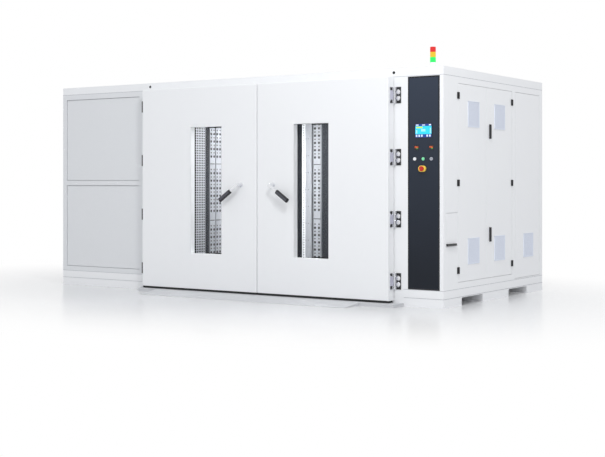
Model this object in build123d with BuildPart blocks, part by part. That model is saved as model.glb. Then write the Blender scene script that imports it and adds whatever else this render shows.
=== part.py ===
from build123d import *
from math import atan2, cos, pi, radians, sin, sqrt, tan
import os

# Walk-in environmental test chamber. Millimetres, +Z up, front towards -Y.
# The origin is the middle of the body's footprint, on the underside of the plinth.

# Body
BODY_WIDTH = 5000.0
BODY_DEPTH = 2390.0
BODY_HEIGHT = 2300.0
LEFT_CABINET_WIDTH = 1234.0
MACHINE_CABINET_WIDTH = 430.0
WALL = 100.0
SHEET = 2.0
FIT = 0.3

# Plinth, floor and roof
PLINTH_HEIGHT = 84.0
PLINTH_SHEET = 4.0
FLOOR_THICKNESS = 80.0
ROOF_HEIGHT = 82.0
POCKET_WIDTH = 479.0
POCKET_HEIGHT = 76.0
POCKET_RADIUS = 22.0
POCKET_CENTRES = (-572.0, 529.0)
LIFTING_HOLE = 12.0
LIFTING_HOLE_DROP = 41.0
SKIRT_GROOVE = 3.0

# Doorway and main doors
OPENING_JAMB = 175.0
OPENING_DROP = 72.0
LEAF_MARGIN = 105.0
LEAF_GAP = 8.0
LEAF_BOTTOM = 52.0
LEAF_TOP_GAP = 2.0
LEAF_THICKNESS = 105.0
LEAF_ROUND = 6.0
GASKET = 10.0
GASKET_WIDTH = 26.0
WINDOW_WIDTH = 419.0
WINDOW_BOTTOM = 431.0
WINDOW_DROP = 428.0
WINDOW_FROM_SPLIT = 461.0
WINDOW_RECESS = 70.0
GLASS = 8.0
PANE_SPACE = 12.0
PANE_LAP = 12.0

# Main hinges
HINGE_HEIGHT = 157.0
HINGE_BOTTOM = 238.0
HINGE_DROP = 176.0
HINGES = 4
HINGE_CLEARANCE = 1.0
HINGE_OFFSET = 12.0
KNUCKLE_RADIUS = 9.0
PIN_RADIUS = 5.0
RUNNING_FIT = 0.05
KNUCKLE_GAP = 0.5
HINGE_LEAF = 5.0
HINGE_ROUND = 4.0
FRAME_LEAF_WIDTH = 56.0
DOOR_LEAF_DEPTH = 66.0
BOLT_CAP_RADIUS = 11.0
BOLT_CAP_HEIGHT = 7.0
BOLT_CAP_PITCH = 92.0
BOLT_CAP_DRAFT = 10.0

# Door handles and the bolts they drive
HANDLE_FROM_SPLIT = 207.0
HANDLE_LEVEL = 1168.0
HANDLE_DROP = 36.0
ROSE_RADIUS = 27.0
ROSE_HEIGHT = 8.0
HUB_RADIUS = 17.0
HUB_HEIGHT = 62.0
HUB_ROUND = 4.0
ROSE_DRAFT = 12.0
ARM_WIDTH = 20.0
ARM_THICKNESS = 12.0
GRIP_START = 103.0
GRIP_END = 290.0
GRIP_RADIUS = 18.0
GRIP_NECK = 12.0
GRIP_COLLAR = 5.0
GRIP_COLLAR_DROP = 2.0
SPINDLE_RADIUS = 9.0
GEAR_MODULE = 2.0
PINION_TEETH = 20
PINION_WIDTH = 12.0
UPPER_RACK_TEETH = (-7, 3)
LOWER_RACK_TEETH = (-4, 6)
RACK_ROOT = 1.2
PINION_ROOT = 1.25
TOOTH_SHARES = (0.0, 0.35, 0.7, 1.0)
PRESSURE_ANGLE = 20.0
BACKLASH = 0.5
BOLT_BAR = 10.0
BOLT_DEPTH = 10.0
BOLT_SETBACK = 20.0
BOLT_CLEARANCE = 1.0
BOLT_REST_GAP = 3.0
STRIKE_DEPTH = 24.0
GUIDE_HEIGHT = 30.0
GUIDE_WALL = 4.0
GUIDE_LOW = (330.0, 720.0)
GUIDE_HIGH_DROPS = (616.0, 216.0)
GEARBOX_ROUND = 10.0

# Left cabinet
LEFT_MARGIN = 59.0
LEFT_RIGHT_MARGIN = 44.0
LEFT_PANEL_BOTTOM = 218.0
LEFT_PANEL_DROP = 60.0
LEFT_RAIL_SHARE = 0.5
LEFT_RAIL = 55.0
LEFT_RECESS = 8.0
LEFT_FRAME_STEP = 60.0

# Control panel
PANEL_WIDTH = 342.0
PANEL_BOTTOM = 167.0
PANEL_DROP = 6.0
PANEL_RIGHT_MARGIN = 41.0
PANEL_PROUD = 1.0
PANEL_THICKNESS = 6.0
SCREEN_WIDTH = 187.0
SCREEN_HEIGHT = 143.0
SCREEN_OFFSET = -1.5
SCREEN_LEVEL = 1689.5
SCREEN_LIP = 10.0
SCREEN_PROUD = 3.0
SCREEN_BORDER = 7.0
DISPLAY_RECESS = 1.0
BEZEL_ROUND = 2.0
CONTROLLER_BORDER = 5.0
CONTROLLER = 48.0
CONTROLLER_LIP = 2.0
CONTROLLER_OFFSETS = (-77.0, 81.0)
CONTROLLER_LEVEL = 1528.0
BUTTON_OFFSETS = (-95.0, -3.0, 84.0)
BUTTON_LEVEL = 1420.0
BUTTON_RADIUS = 9.0
BEZEL_RADIUS = 15.0
BEZEL_HEIGHT = 5.0
BUTTON_TRAVEL = 3.0
BUTTON_PROUD = 1.0
BUTTON_ROUND = 1.5
ESTOP_OFFSET = -11.0
ESTOP_LEVEL = 1326.0
ESTOP_STEM = 14.0
ESTOP_FOOT = 13.0
ESTOP_ROUND = 4.0
GUARD_ROUND = 8.0
GUARD_DEPTH = 24.0
GUARD_DRAFT = 6.0
GUARD_BASE = 3.0
GUARD_CLEARANCE = 4.0
ESTOP_RADIUS = 20.0
ESTOP_TRAVEL = 5.0
GUARD_WIDTH = 96.0
GUARD_HEIGHT = 65.0

# Signal tower
TOWER_FROM_SIDE = 191.0
TOWER_FROM_FRONT = 150.0
TOWER_RADIUS = 28.0
TOWER_BASE = 52.0
TOWER_SEGMENT = 50.0
TOWER_FOOT = 3.0
TOWER_BEVEL = 2.0

# Sill and ramp
SILL_DEPTH = 200.0
SILL_HEIGHT = 30.0
SILL_MITRE = 120.0
RAMP_LEFT_INSET = 208.0
RAMP_RIGHT_INSET = 206.0
RAMP_BAYS = 6
RAMP_BAY_SHARE = 0.8
RAMP_DEPTH = 275.0
RAMP_EDGE = 3.0

# Machine cabinet side
SIDE_DOOR_BOTTOM = 229.0
SIDE_DOOR_DROP = 66.0
SIDE_DOOR_FRONT = -885.0
SIDE_DOOR_SPLIT = -255.0
SIDE_DOOR_REAR = 375.0
SIDE_DOOR_THICKNESS = 22.0
SIDE_SKIN = 1.5
SIDE_GAP = 3.0
SIDE_PANEL_FRONT = 461.0
SIDE_PANEL_REAR = 1110.0
SIDE_PANEL_BOTTOM = 166.0
SIDE_PANEL_DROP = 68.0
SIDE_FRAME = 30.0
FRAME_LAP = 12.0
VENT = 255.0
VENT_FRAME = 18.0
VENT_DEPTH = 6.0
VENT_SLATS = 10
VENT_SLAT_THICKNESS = 1.5
VENT_SLAT_START = 0.15
VENT_SLAT_RISE = 0.55
VENT_SLAT_INSET = 0.5
VENT_SLAT_SEAT = 3.0
VENT_UPPER_DROP = 284.0
VENT_LOWER = 519.0
VENT_FRONT_DOOR = -549.0
VENT_REAR_DOOR = 65.0
VENT_REAR_PANEL = 805.0
SIDE_HINGE_BOTTOM = 343.0
SIDE_HINGE_DROP = 116.0
SIDE_HINGE_MIDDLE = 1190.0
SIDE_HINGE_WIDTH = 50.0
SIDE_HINGE_HEIGHT = 63.0
SIDE_HINGE_THICKNESS = 5.0
SIDE_KNUCKLE = 6.0
SIDE_PIN = 3.0
SWING_HANDLE_Y = -175.0
SWING_HANDLE_LOW = 667.0
SWING_HANDLE_DROP = 441.0
SWING_HANDLE_LENGTH = 150.0
SWING_HANDLE_WIDTH = 20.0
SWING_HANDLE_PROUD = 20.0
SWING_STEM = 8.0
TONGUE_LENGTH = 105.0
TONGUE_WIDTH = 24.0
FLAP_FRONT = -1143.0
FLAP_REAR = -896.0
FLAP_BOTTOM = 586.0
FLAP_TOP = 901.0
FLAP_THICKNESS = 18.0
FLAP_AXIS_SETBACK = 5.0
FLAP_PIN_REACH = 4.0
PULL_LENGTH = 190.0
PULL_HEIGHT = 20.0

# Inside
LINER = 1.5
PARTITION = 3.0
AIR_PANEL_WIDTH = 260.0
AIR_PANEL_BOTTOM = 200.0
AIR_PANEL_DROP = 38.0
AIR_PANEL_SHEET = 2.0
AIR_PANEL_OFFSET = 327.0
AIR_HOLE = 22.0
AIR_HOLE_PITCH = 62.0
RACK_CENTRE = 7.0
UPRIGHT_WIDTH = 100.0
UPRIGHT_DEPTH = 30.0
UPRIGHT_SHEET = 2.0
UPRIGHT_PITCH = 116.0
UPRIGHT_HOLE = 14.0
UPRIGHT_HOLE_PITCH = 150.0
REAR_UPRIGHTS = 3
REAR_UPRIGHT_START = 764.0
REAR_UPRIGHT_END = 572.0
DUCT_WIDTH = 86.0
DUCT_OFFSET = -128.0
RAIL_WIDTH = 50.0
RAIL_OFFSET = -197.0

# Air handler and refrigeration
COIL_THICKNESS = 220.0
COIL_MARGIN = 30.0
COIL_FINS = 24
COIL_FIN = 2.0
HEATER_RODS = 7
HEATER_RADIUS = 8.0
HEATER_PLATE = 3.0
FAN_RADIUS = 300.0
FAN_TIP_GAP = 8.0
FAN_BLADES = 5
BLADE_THICKNESS = 5.0
BLADE_REACH = 0.95
BLADE_ROOT_CHORD = 0.42
BLADE_TIP_CHORD = 0.52
BLADE_ROOT_TWIST = 48
BLADE_TIP_TWIST = 24
FAN_LEVEL = 1400.0
FAN_SPACE = 450.0
FAN_DECK_SHEET = 4.0
FAN_HUB_RADIUS = 60.0
FAN_HUB_LENGTH = 70.0
MOTOR_RADIUS = 75.0
MOTOR_LENGTH = 180.0
SHAFT_RADIUS = 12.0
CONDENSER_WIDTH = 900.0
CONDENSER_HEIGHT = 700.0
CONDENSER_THICKNESS = 90.0
CONDENSER_FAN_RADIUS = 230.0
COMPRESSOR_RADIUS = 120.0
COMPRESSOR_HEIGHT = 420.0
COMPRESSOR_FOOT = 20.0
ROUND_SHARE = 0.6
COMPRESSOR_PLACES = (-700.0, -300.0)

# Derived places
FRONT = -BODY_DEPTH / 2
REAR = BODY_DEPTH / 2
LEFT = -BODY_WIDTH / 2
RIGHT = BODY_WIDTH / 2
SEAM_LEFT = LEFT + LEFT_CABINET_WIDTH
SEAM_RIGHT = RIGHT - MACHINE_CABINET_WIDTH
FLOOR_TOP = PLINTH_HEIGHT + FLOOR_THICKNESS
WALL_TOP = BODY_HEIGHT - ROOF_HEIGHT
WALL_FRONT = FRONT + WALL
WALL_REAR = REAR - WALL
ROOM_LEFT = SEAM_LEFT + WALL
ROOM_RIGHT = SEAM_RIGHT - WALL
OPENING_SPLIT = (SEAM_LEFT + SEAM_RIGHT) / 2
OPENING_LEFT = SEAM_LEFT + OPENING_JAMB
OPENING_RIGHT = SEAM_RIGHT - OPENING_JAMB
OPENING_TOP = WALL_TOP - OPENING_DROP
LEAF_WIDTH = SEAM_RIGHT - OPENING_SPLIT - LEAF_MARGIN - LEAF_GAP / 2
LEAF_TOP = WALL_TOP - LEAF_TOP_GAP
WINDOW_TOP = LEAF_TOP - WINDOW_DROP
HINGE_TOP = LEAF_TOP - HINGE_DROP
HINGE_LEVELS = [HINGE_BOTTOM + (HINGE_TOP - HINGE_BOTTOM) * step / (HINGES - 1) for step in range(HINGES)]
GUIDE_LEVELS = (*GUIDE_LOW, *(LEAF_TOP - drop for drop in GUIDE_HIGH_DROPS))
LEAF_BACK = FRONT - GASKET
LEAF_FRONT = LEAF_BACK - LEAF_THICKNESS
HINGE_Y = LEAF_BACK - 2.0
HINGE_SPAN = LEAF_GAP / 2 + LEAF_WIDTH + HINGE_OFFSET
PITCH_RADIUS = GEAR_MODULE * PINION_TEETH / 2
BOLT_Y = LEAF_BACK + BOLT_SETBACK
BOLT_SIDE = PITCH_RADIUS + RACK_ROOT * GEAR_MODULE + BOLT_BAR / 2
LEFT_PANEL_TOP = WALL_TOP - LEFT_PANEL_DROP
LEFT_MIDDLE = LEFT_PANEL_BOTTOM + (LEFT_PANEL_TOP - LEFT_PANEL_BOTTOM) * LEFT_RAIL_SHARE
LEFT_LOWER = (LEFT_PANEL_BOTTOM, LEFT_MIDDLE - LEFT_RAIL / 2)
LEFT_UPPER = (LEFT_MIDDLE + LEFT_RAIL / 2, LEFT_PANEL_TOP)
PANEL_TOP = WALL_TOP - PANEL_DROP
PANEL_X = RIGHT - PANEL_RIGHT_MARGIN - PANEL_WIDTH / 2
PANEL_FACE = FRONT - PANEL_PROUD
SCREEN_CENTRE = (PANEL_X + SCREEN_OFFSET, SCREEN_LEVEL)
CONTROLLER_CENTRES = [PANEL_X + offset for offset in CONTROLLER_OFFSETS]
BUTTON_CENTRES = [PANEL_X + offset for offset in BUTTON_OFFSETS]
ESTOP_CENTRE = (PANEL_X + ESTOP_OFFSET, ESTOP_LEVEL)
TOWER_CENTRE = (RIGHT - TOWER_FROM_SIDE, FRONT + TOWER_FROM_FRONT)
RAMP_LEFT = OPENING_LEFT + RAMP_LEFT_INSET
RAMP_RIGHT = OPENING_RIGHT - RAMP_RIGHT_INSET
SIDE_DOOR_TOP = WALL_TOP - SIDE_DOOR_DROP
SIDE_PANEL_TOP = WALL_TOP - SIDE_PANEL_DROP
VENT_UPPER = SIDE_DOOR_TOP - VENT_UPPER_DROP
SIDE_HINGE_LEVELS = (SIDE_HINGE_BOTTOM, SIDE_HINGE_MIDDLE, SIDE_DOOR_TOP - SIDE_HINGE_DROP)
SWING_HANDLE_LEVELS = (SWING_HANDLE_LOW, SIDE_DOOR_TOP - SWING_HANDLE_DROP)
AIR_PANEL_TOP = WALL_TOP - AIR_PANEL_DROP
REAR_UPRIGHT_X = ROOM_LEFT + REAR_UPRIGHT_START
REAR_UPRIGHT_SPACING = (ROOM_RIGHT - REAR_UPRIGHT_END - REAR_UPRIGHT_X) / (REAR_UPRIGHTS - 1)

os.makedirs("parts", exist_ok=True)


def save(builder, label):
    """Names a finished piece and writes it."""
    builder.part.label = label
    export_step(builder.part, f"parts/{label}.step")


def facing_front(y):
    """A plane at y whose normal points to the front: x runs right, y runs up."""
    return Plane.XZ.offset(-y)


def facing_right(x):
    """A plane at x whose normal points right: x runs back, y runs up."""
    return Plane.YZ.offset(x)


def level(z):
    """A level plane at height z."""
    return Plane.XY.offset(z)


def rectangle(u0, u1, v0, v1, mode=Mode.ADD):
    """A rectangle between two corners of the open sketch."""
    with Locations(((u0 + u1) / 2, (v0 + v1) / 2)):
        Rectangle(u1 - u0, v1 - v0, mode=mode)


# Plinth: a welded tray under the floor, with skirts cut for the two forklift pockets
with BuildPart() as base_frame:
    with BuildSketch(facing_right(LEFT)):
        rectangle(FRONT, REAR, 0, PLINTH_HEIGHT)
        for centre in POCKET_CENTRES:
            with Locations((centre, POCKET_HEIGHT / 2 - POCKET_RADIUS)):
                RectangleRounded(POCKET_WIDTH, POCKET_HEIGHT + 2 * POCKET_RADIUS, POCKET_RADIUS,
                                 mode=Mode.SUBTRACT)
    extrude(amount=BODY_WIDTH)
    with BuildSketch(facing_right(LEFT + PLINTH_SHEET)):
        feet = [FRONT, POCKET_CENTRES[0] - POCKET_WIDTH / 2, POCKET_CENTRES[0] + POCKET_WIDTH / 2,
                POCKET_CENTRES[1] - POCKET_WIDTH / 2, POCKET_CENTRES[1] + POCKET_WIDTH / 2, REAR]
        for start, end in zip(feet[::2], feet[1::2]):
            rectangle(start + PLINTH_SHEET, end - PLINTH_SHEET, PLINTH_SHEET, PLINTH_HEIGHT - PLINTH_SHEET)
    extrude(amount=BODY_WIDTH - 2 * PLINTH_SHEET, mode=Mode.SUBTRACT)
    with BuildSketch(level(PLINTH_HEIGHT)):
        for start, end in zip(feet[::2], feet[1::2]):
            rectangle(LEFT + 2 * PLINTH_HEIGHT, RIGHT - 2 * PLINTH_HEIGHT,
                      start + PLINTH_HEIGHT, end - PLINTH_HEIGHT)
    extrude(amount=-PLINTH_SHEET, mode=Mode.SUBTRACT)
save(base_frame, "base_frame")

# Floor: an insulated slab whose edge is the band above the plinth
with BuildPart() as floor_slab:
    with BuildSketch(level(PLINTH_HEIGHT)):
        rectangle(LEFT, RIGHT, FRONT, REAR)
    extrude(amount=FLOOR_THICKNESS)
    with BuildSketch(level(PLINTH_HEIGHT)):
        rectangle(LEFT, RIGHT, FRONT, REAR)
        offset(amount=-SKIRT_GROOVE, mode=Mode.SUBTRACT)
    extrude(amount=SKIRT_GROOVE, mode=Mode.SUBTRACT)
    with BuildSketch(level(FLOOR_TOP)):
        for side in (-1, 1):
            hub = OPENING_SPLIT + side * HANDLE_FROM_SPLIT
            with Locations((hub + side * BOLT_SIDE, BOLT_Y)):
                Rectangle(BOLT_BAR + 2 * BOLT_CLEARANCE, BOLT_DEPTH + 2 * BOLT_CLEARANCE)
    extrude(amount=-STRIKE_DEPTH, mode=Mode.SUBTRACT)
save(floor_slab, "floor_slab")

# Insulated walls
with BuildPart() as rear_wall:
    with BuildSketch(level(FLOOR_TOP)):
        rectangle(LEFT, SEAM_RIGHT, WALL_REAR, REAR)
    extrude(amount=WALL_TOP - FLOOR_TOP)
save(rear_wall, "rear_wall")

with BuildPart() as side_walls:
    with BuildSketch(level(FLOOR_TOP)):
        rectangle(LEFT, LEFT + WALL, WALL_FRONT, WALL_REAR)
        rectangle(ROOM_RIGHT, SEAM_RIGHT, WALL_FRONT, WALL_REAR)
    extrude(amount=WALL_TOP - FLOOR_TOP)
save(side_walls, "side_walls")

with BuildPart() as ceiling_slab:
    with BuildSketch(level(WALL_TOP)):
        rectangle(LEFT + SHEET, SEAM_RIGHT, FRONT + SHEET, REAR - SHEET)
    extrude(amount=ROOF_HEIGHT - SHEET)
save(ceiling_slab, "ceiling_slab")

# Roof tray: folded down all round as the fascia, with two lifting holes in front
with BuildPart() as roof_tray:
    with BuildSketch(level(WALL_TOP)):
        rectangle(LEFT, RIGHT, FRONT, REAR)
    extrude(amount=ROOF_HEIGHT)
    with BuildSketch(level(WALL_TOP)):
        rectangle(LEFT + SHEET, RIGHT - SHEET, FRONT + SHEET, REAR - SHEET)
    extrude(amount=ROOF_HEIGHT - SHEET, mode=Mode.SUBTRACT)
    roof_corners = roof_tray.edges().filter_by(Axis.Z).group_by(Axis.X)[0]
    fillet(roof_corners, radius=SHEET)
    with BuildSketch(facing_front(FRONT)):
        with Locations((OPENING_SPLIT - HINGE_SPAN + HINGE_OFFSET, BODY_HEIGHT - LIFTING_HOLE_DROP),
                       (OPENING_SPLIT + HINGE_SPAN - HINGE_OFFSET, BODY_HEIGHT - LIFTING_HOLE_DROP)):
            Circle(LIFTING_HOLE / 2)
    extrude(amount=-SHEET, mode=Mode.SUBTRACT)
save(roof_tray, "roof_tray")

# Left cabinet: a thick front frame with a stepped seat for each access panel
PANEL_LEFT = LEFT + LEFT_MARGIN
PANEL_RIGHT = SEAM_LEFT - LEFT_RIGHT_MARGIN
with BuildPart() as left_cabinet_frame:
    with BuildSketch(facing_front(FRONT)):
        rectangle(LEFT, SEAM_LEFT, FLOOR_TOP, WALL_TOP)
    extrude(amount=-WALL)
    for bottom, top in (LEFT_LOWER, LEFT_UPPER):
        with BuildSketch(facing_front(FRONT)):
            rectangle(PANEL_LEFT, PANEL_RIGHT, bottom, top)
        extrude(amount=-LEFT_FRAME_STEP, mode=Mode.SUBTRACT)
        with BuildSketch(facing_front(FRONT + LEFT_FRAME_STEP)):
            rectangle(PANEL_LEFT, PANEL_RIGHT, bottom, top)
            offset(amount=-GASKET_WIDTH, mode=Mode.INTERSECT)
        extrude(amount=-(WALL - LEFT_FRAME_STEP), mode=Mode.SUBTRACT)
save(left_cabinet_frame, "left_cabinet_frame")

with BuildPart() as left_cabinet_panels:
    for bottom, top in (LEFT_LOWER, LEFT_UPPER):
        with BuildSketch(facing_front(FRONT + LEFT_RECESS)):
            rectangle(PANEL_LEFT + SIDE_GAP, PANEL_RIGHT - SIDE_GAP, bottom + SIDE_GAP, top - SIDE_GAP)
        extrude(amount=-(LEFT_FRAME_STEP - LEFT_RECESS))
    chamfer(left_cabinet_panels.faces().sort_by(Axis.Y)[0].edges(), length=SHEET)
    chamfer(left_cabinet_panels.faces().sort_by(Axis.Y)[1].edges(), length=SHEET)
save(left_cabinet_panels, "left_cabinet_panels")

# Door frame: jambs and header around the doorway, with strikes for the upper bolts
with BuildPart() as door_frame:
    with BuildSketch(facing_front(FRONT)):
        rectangle(SEAM_LEFT, SEAM_RIGHT, FLOOR_TOP, WALL_TOP)
        rectangle(OPENING_LEFT, OPENING_RIGHT, FLOOR_TOP, OPENING_TOP, mode=Mode.SUBTRACT)
    extrude(amount=-WALL)
    with BuildSketch(level(OPENING_TOP)):
        for side in (-1, 1):
            hub = OPENING_SPLIT + side * HANDLE_FROM_SPLIT
            with Locations((hub - side * BOLT_SIDE, BOLT_Y)):
                Rectangle(BOLT_BAR + 2 * BOLT_CLEARANCE, BOLT_DEPTH + 2 * BOLT_CLEARANCE)
    extrude(amount=STRIKE_DEPTH, mode=Mode.SUBTRACT)
save(door_frame, "door_frame")

# Inner liner: thin sheets on the rear wall, right wall, ceiling and floor of the room
with BuildPart() as inner_liner:
    with BuildSketch(facing_right(ROOM_LEFT)):
        rectangle(WALL_FRONT, WALL_REAR, FLOOR_TOP, WALL_TOP)
        rectangle(WALL_FRONT, WALL_REAR - LINER, FLOOR_TOP + LINER, WALL_TOP - LINER, mode=Mode.SUBTRACT)
    extrude(amount=ROOM_RIGHT - ROOM_LEFT)
    with BuildSketch(facing_right(ROOM_RIGHT)):
        rectangle(WALL_FRONT, WALL_REAR, FLOOR_TOP, WALL_TOP)
    extrude(amount=-LINER)
save(inner_liner, "inner_liner")

# Partition between the room and the air handler, open behind each perforated panel
AIR_CENTRES = (RACK_CENTRE - AIR_PANEL_OFFSET, RACK_CENTRE + AIR_PANEL_OFFSET)
with BuildPart() as air_partition:
    with BuildSketch(facing_right(ROOM_LEFT)):
        rectangle(WALL_FRONT, WALL_REAR, FLOOR_TOP, WALL_TOP)
        for centre in AIR_CENTRES:
            rectangle(centre - AIR_PANEL_WIDTH / 2 + GASKET_WIDTH, centre + AIR_PANEL_WIDTH / 2 - GASKET_WIDTH,
                      AIR_PANEL_BOTTOM + GASKET_WIDTH, AIR_PANEL_TOP - GASKET_WIDTH, mode=Mode.SUBTRACT)
    extrude(amount=-PARTITION)
save(air_partition, "air_partition")

with BuildPart() as air_panels:
    with BuildSketch(facing_right(ROOM_LEFT)):
        for centre in AIR_CENTRES:
            rectangle(centre - AIR_PANEL_WIDTH / 2, centre + AIR_PANEL_WIDTH / 2,
                      AIR_PANEL_BOTTOM, AIR_PANEL_TOP)
    extrude(amount=AIR_PANEL_SHEET)
    columns = int((AIR_PANEL_WIDTH - GASKET_WIDTH) // AIR_HOLE_PITCH)
    rows = int((AIR_PANEL_TOP - AIR_PANEL_BOTTOM - 2 * GASKET_WIDTH) // AIR_HOLE_PITCH)
    with BuildSketch(facing_right(ROOM_LEFT)):
        for centre in AIR_CENTRES:
            with Locations((centre, (AIR_PANEL_BOTTOM + AIR_PANEL_TOP) / 2)):
                with GridLocations(AIR_HOLE_PITCH, AIR_HOLE_PITCH, columns, rows):
                    Rectangle(AIR_HOLE, AIR_HOLE)
    extrude(amount=AIR_PANEL_SHEET, mode=Mode.SUBTRACT)
save(air_panels, "air_panels")


def channel_section(width, depth, sheet):
    """An open channel's section in the open sketch: its web stands off at depth."""
    rectangle(-width / 2, width / 2, 0, depth)
    rectangle(-width / 2 + sheet, width / 2 - sheet, 0, depth - sheet, mode=Mode.SUBTRACT)


# Rack uprights: holed channels on the partition and on the rear wall, and a smooth cable duct
UPRIGHT_BOTTOM = FLOOR_TOP + LINER
UPRIGHT_TOP = WALL_TOP - LINER
REAR_FACE = WALL_REAR - LINER
upright_places = [REAR_UPRIGHT_X + REAR_UPRIGHT_SPACING * step for step in range(REAR_UPRIGHTS)]
hole_rows = int((UPRIGHT_TOP - UPRIGHT_BOTTOM) // UPRIGHT_HOLE_PITCH)
with BuildPart() as rack_uprights:
    for side in (-1, 1):
        plane = Plane((ROOM_LEFT, RACK_CENTRE + side * UPRIGHT_PITCH / 2, UPRIGHT_BOTTOM),
                      x_dir=(0, -1, 0), z_dir=(0, 0, 1))
        with BuildSketch(plane):
            channel_section(UPRIGHT_WIDTH, UPRIGHT_DEPTH, UPRIGHT_SHEET)
        extrude(amount=UPRIGHT_TOP - UPRIGHT_BOTTOM)
    for x in upright_places:
        plane = Plane((x, REAR_FACE, UPRIGHT_BOTTOM), x_dir=(-1, 0, 0), z_dir=(0, 0, 1))
        with BuildSketch(plane):
            channel_section(UPRIGHT_WIDTH + 2 * SIDE_GAP, UPRIGHT_DEPTH, UPRIGHT_SHEET)
        extrude(amount=UPRIGHT_TOP - UPRIGHT_BOTTOM)
        for offset_x, width in ((DUCT_OFFSET, DUCT_WIDTH), (RAIL_OFFSET, RAIL_WIDTH)):
            plane = Plane((x + offset_x, REAR_FACE, UPRIGHT_BOTTOM), x_dir=(-1, 0, 0), z_dir=(0, 0, 1))
            with BuildSketch(plane):
                channel_section(width, UPRIGHT_DEPTH, UPRIGHT_SHEET)
            extrude(amount=UPRIGHT_TOP - UPRIGHT_BOTTOM)
    middle = (UPRIGHT_BOTTOM + UPRIGHT_TOP) / 2
    with BuildSketch(facing_right(ROOM_LEFT + UPRIGHT_DEPTH)):
        with Locations((RACK_CENTRE - UPRIGHT_PITCH / 2, middle), (RACK_CENTRE + UPRIGHT_PITCH / 2, middle)):
            with GridLocations(UPRIGHT_WIDTH / 2, UPRIGHT_HOLE_PITCH, 2, hole_rows):
                Rectangle(UPRIGHT_HOLE, UPRIGHT_HOLE)
    extrude(amount=-UPRIGHT_SHEET, mode=Mode.SUBTRACT)
    with BuildSketch(facing_front(REAR_FACE - UPRIGHT_DEPTH)):
        for x in upright_places:
            with Locations((x, middle)):
                with GridLocations(UPRIGHT_WIDTH / 2, UPRIGHT_HOLE_PITCH, 2, hole_rows):
                    Rectangle(UPRIGHT_HOLE, UPRIGHT_HOLE)
    extrude(amount=-UPRIGHT_SHEET, mode=Mode.SUBTRACT)
save(rack_uprights, "rack_uprights")

# Machine cabinet: front post, side frame and rear cover folded round the machine space
SIDE_INNER = RIGHT - SIDE_FRAME
FLAP_AXIS_X = RIGHT - FLAP_AXIS_SETBACK
FLAP_AXIS_Z = FLAP_TOP - FLAP_AXIS_SETBACK
SCREEN_BODY = (SCREEN_WIDTH - 2 * SCREEN_LIP, SCREEN_HEIGHT - 2 * SCREEN_LIP)
CONTROLLER_BODY = CONTROLLER - 2 * CONTROLLER_LIP
side_openings = [
    (SIDE_DOOR_FRONT, SIDE_DOOR_REAR, SIDE_DOOR_BOTTOM, SIDE_DOOR_TOP),
    (SIDE_PANEL_FRONT, SIDE_PANEL_REAR, SIDE_PANEL_BOTTOM + FRAME_LAP, SIDE_PANEL_TOP),
    (FLAP_FRONT, FLAP_REAR, FLAP_BOTTOM, FLAP_TOP),
]


def device_places():
    """The cut-outs behind the control panel: centre x, centre z, width, height."""
    yield SCREEN_CENTRE[0], SCREEN_CENTRE[1], SCREEN_BODY[0], SCREEN_BODY[1]
    for x in CONTROLLER_CENTRES:
        yield x, CONTROLLER_LEVEL, CONTROLLER_BODY, CONTROLLER_BODY


def cut_device_holes():
    """Adds the device cut-outs and the round button holes to the open sketch."""
    for x, z, width, height in device_places():
        with Locations((x, z)):
            Rectangle(width + 2 * FIT, height + 2 * FIT)
    for x in BUTTON_CENTRES:
        with Locations((x, BUTTON_LEVEL)):
            Circle(BUTTON_RADIUS + FIT)
    with Locations(ESTOP_CENTRE):
        Circle(BUTTON_RADIUS + FIT)


with BuildPart() as machine_cabinet:
    with BuildSketch(level(FLOOR_TOP)):
        rectangle(SEAM_RIGHT, RIGHT, FRONT, REAR)
        rectangle(SEAM_RIGHT, SIDE_INNER, FRONT + SIDE_FRAME, REAR - SIDE_FRAME, mode=Mode.SUBTRACT)
    extrude(amount=WALL_TOP - FLOOR_TOP)
    for start, end, bottom, top in side_openings:
        with BuildSketch(facing_right(RIGHT)):
            rectangle(start, end, bottom, top)
            offset(amount=SIDE_GAP)
        extrude(amount=-SIDE_DOOR_THICKNESS, mode=Mode.SUBTRACT)
        with BuildSketch(facing_right(RIGHT - SIDE_DOOR_THICKNESS)):
            rectangle(start + FRAME_LAP, end - FRAME_LAP, bottom + FRAME_LAP, top - FRAME_LAP)
        extrude(amount=-SIDE_FRAME, mode=Mode.SUBTRACT)
    with BuildSketch(facing_front(FRONT)):
        rectangle(PANEL_X - PANEL_WIDTH / 2 - FIT, PANEL_X + PANEL_WIDTH / 2 + FIT,
                  PANEL_BOTTOM - FIT, PANEL_TOP + FIT)
    extrude(amount=-PANEL_THICKNESS, mode=Mode.SUBTRACT)
    with BuildSketch(facing_front(FRONT)):
        cut_device_holes()
    extrude(amount=-SIDE_FRAME, mode=Mode.SUBTRACT)
    with BuildSketch(facing_front(REAR)):
        with Locations((PANEL_X, BODY_HEIGHT / 2)):
            with GridLocations(0, VENT_FRAME * 2, 1, VENT_SLATS):
                SlotOverall(VENT, VENT_FRAME)
    extrude(amount=SIDE_FRAME, mode=Mode.SUBTRACT)
    pin_hole = SIDE_GAP + FLAP_PIN_REACH + FIT
    with BuildSketch(facing_front(FLAP_FRONT - pin_hole)):
        with Locations((FLAP_AXIS_X, FLAP_AXIS_Z)):
            Circle(SIDE_PIN + RUNNING_FIT)
    extrude(amount=-(FLAP_REAR - FLAP_FRONT + 2 * pin_hole), mode=Mode.SUBTRACT)
save(machine_cabinet, "machine_cabinet")

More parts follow.
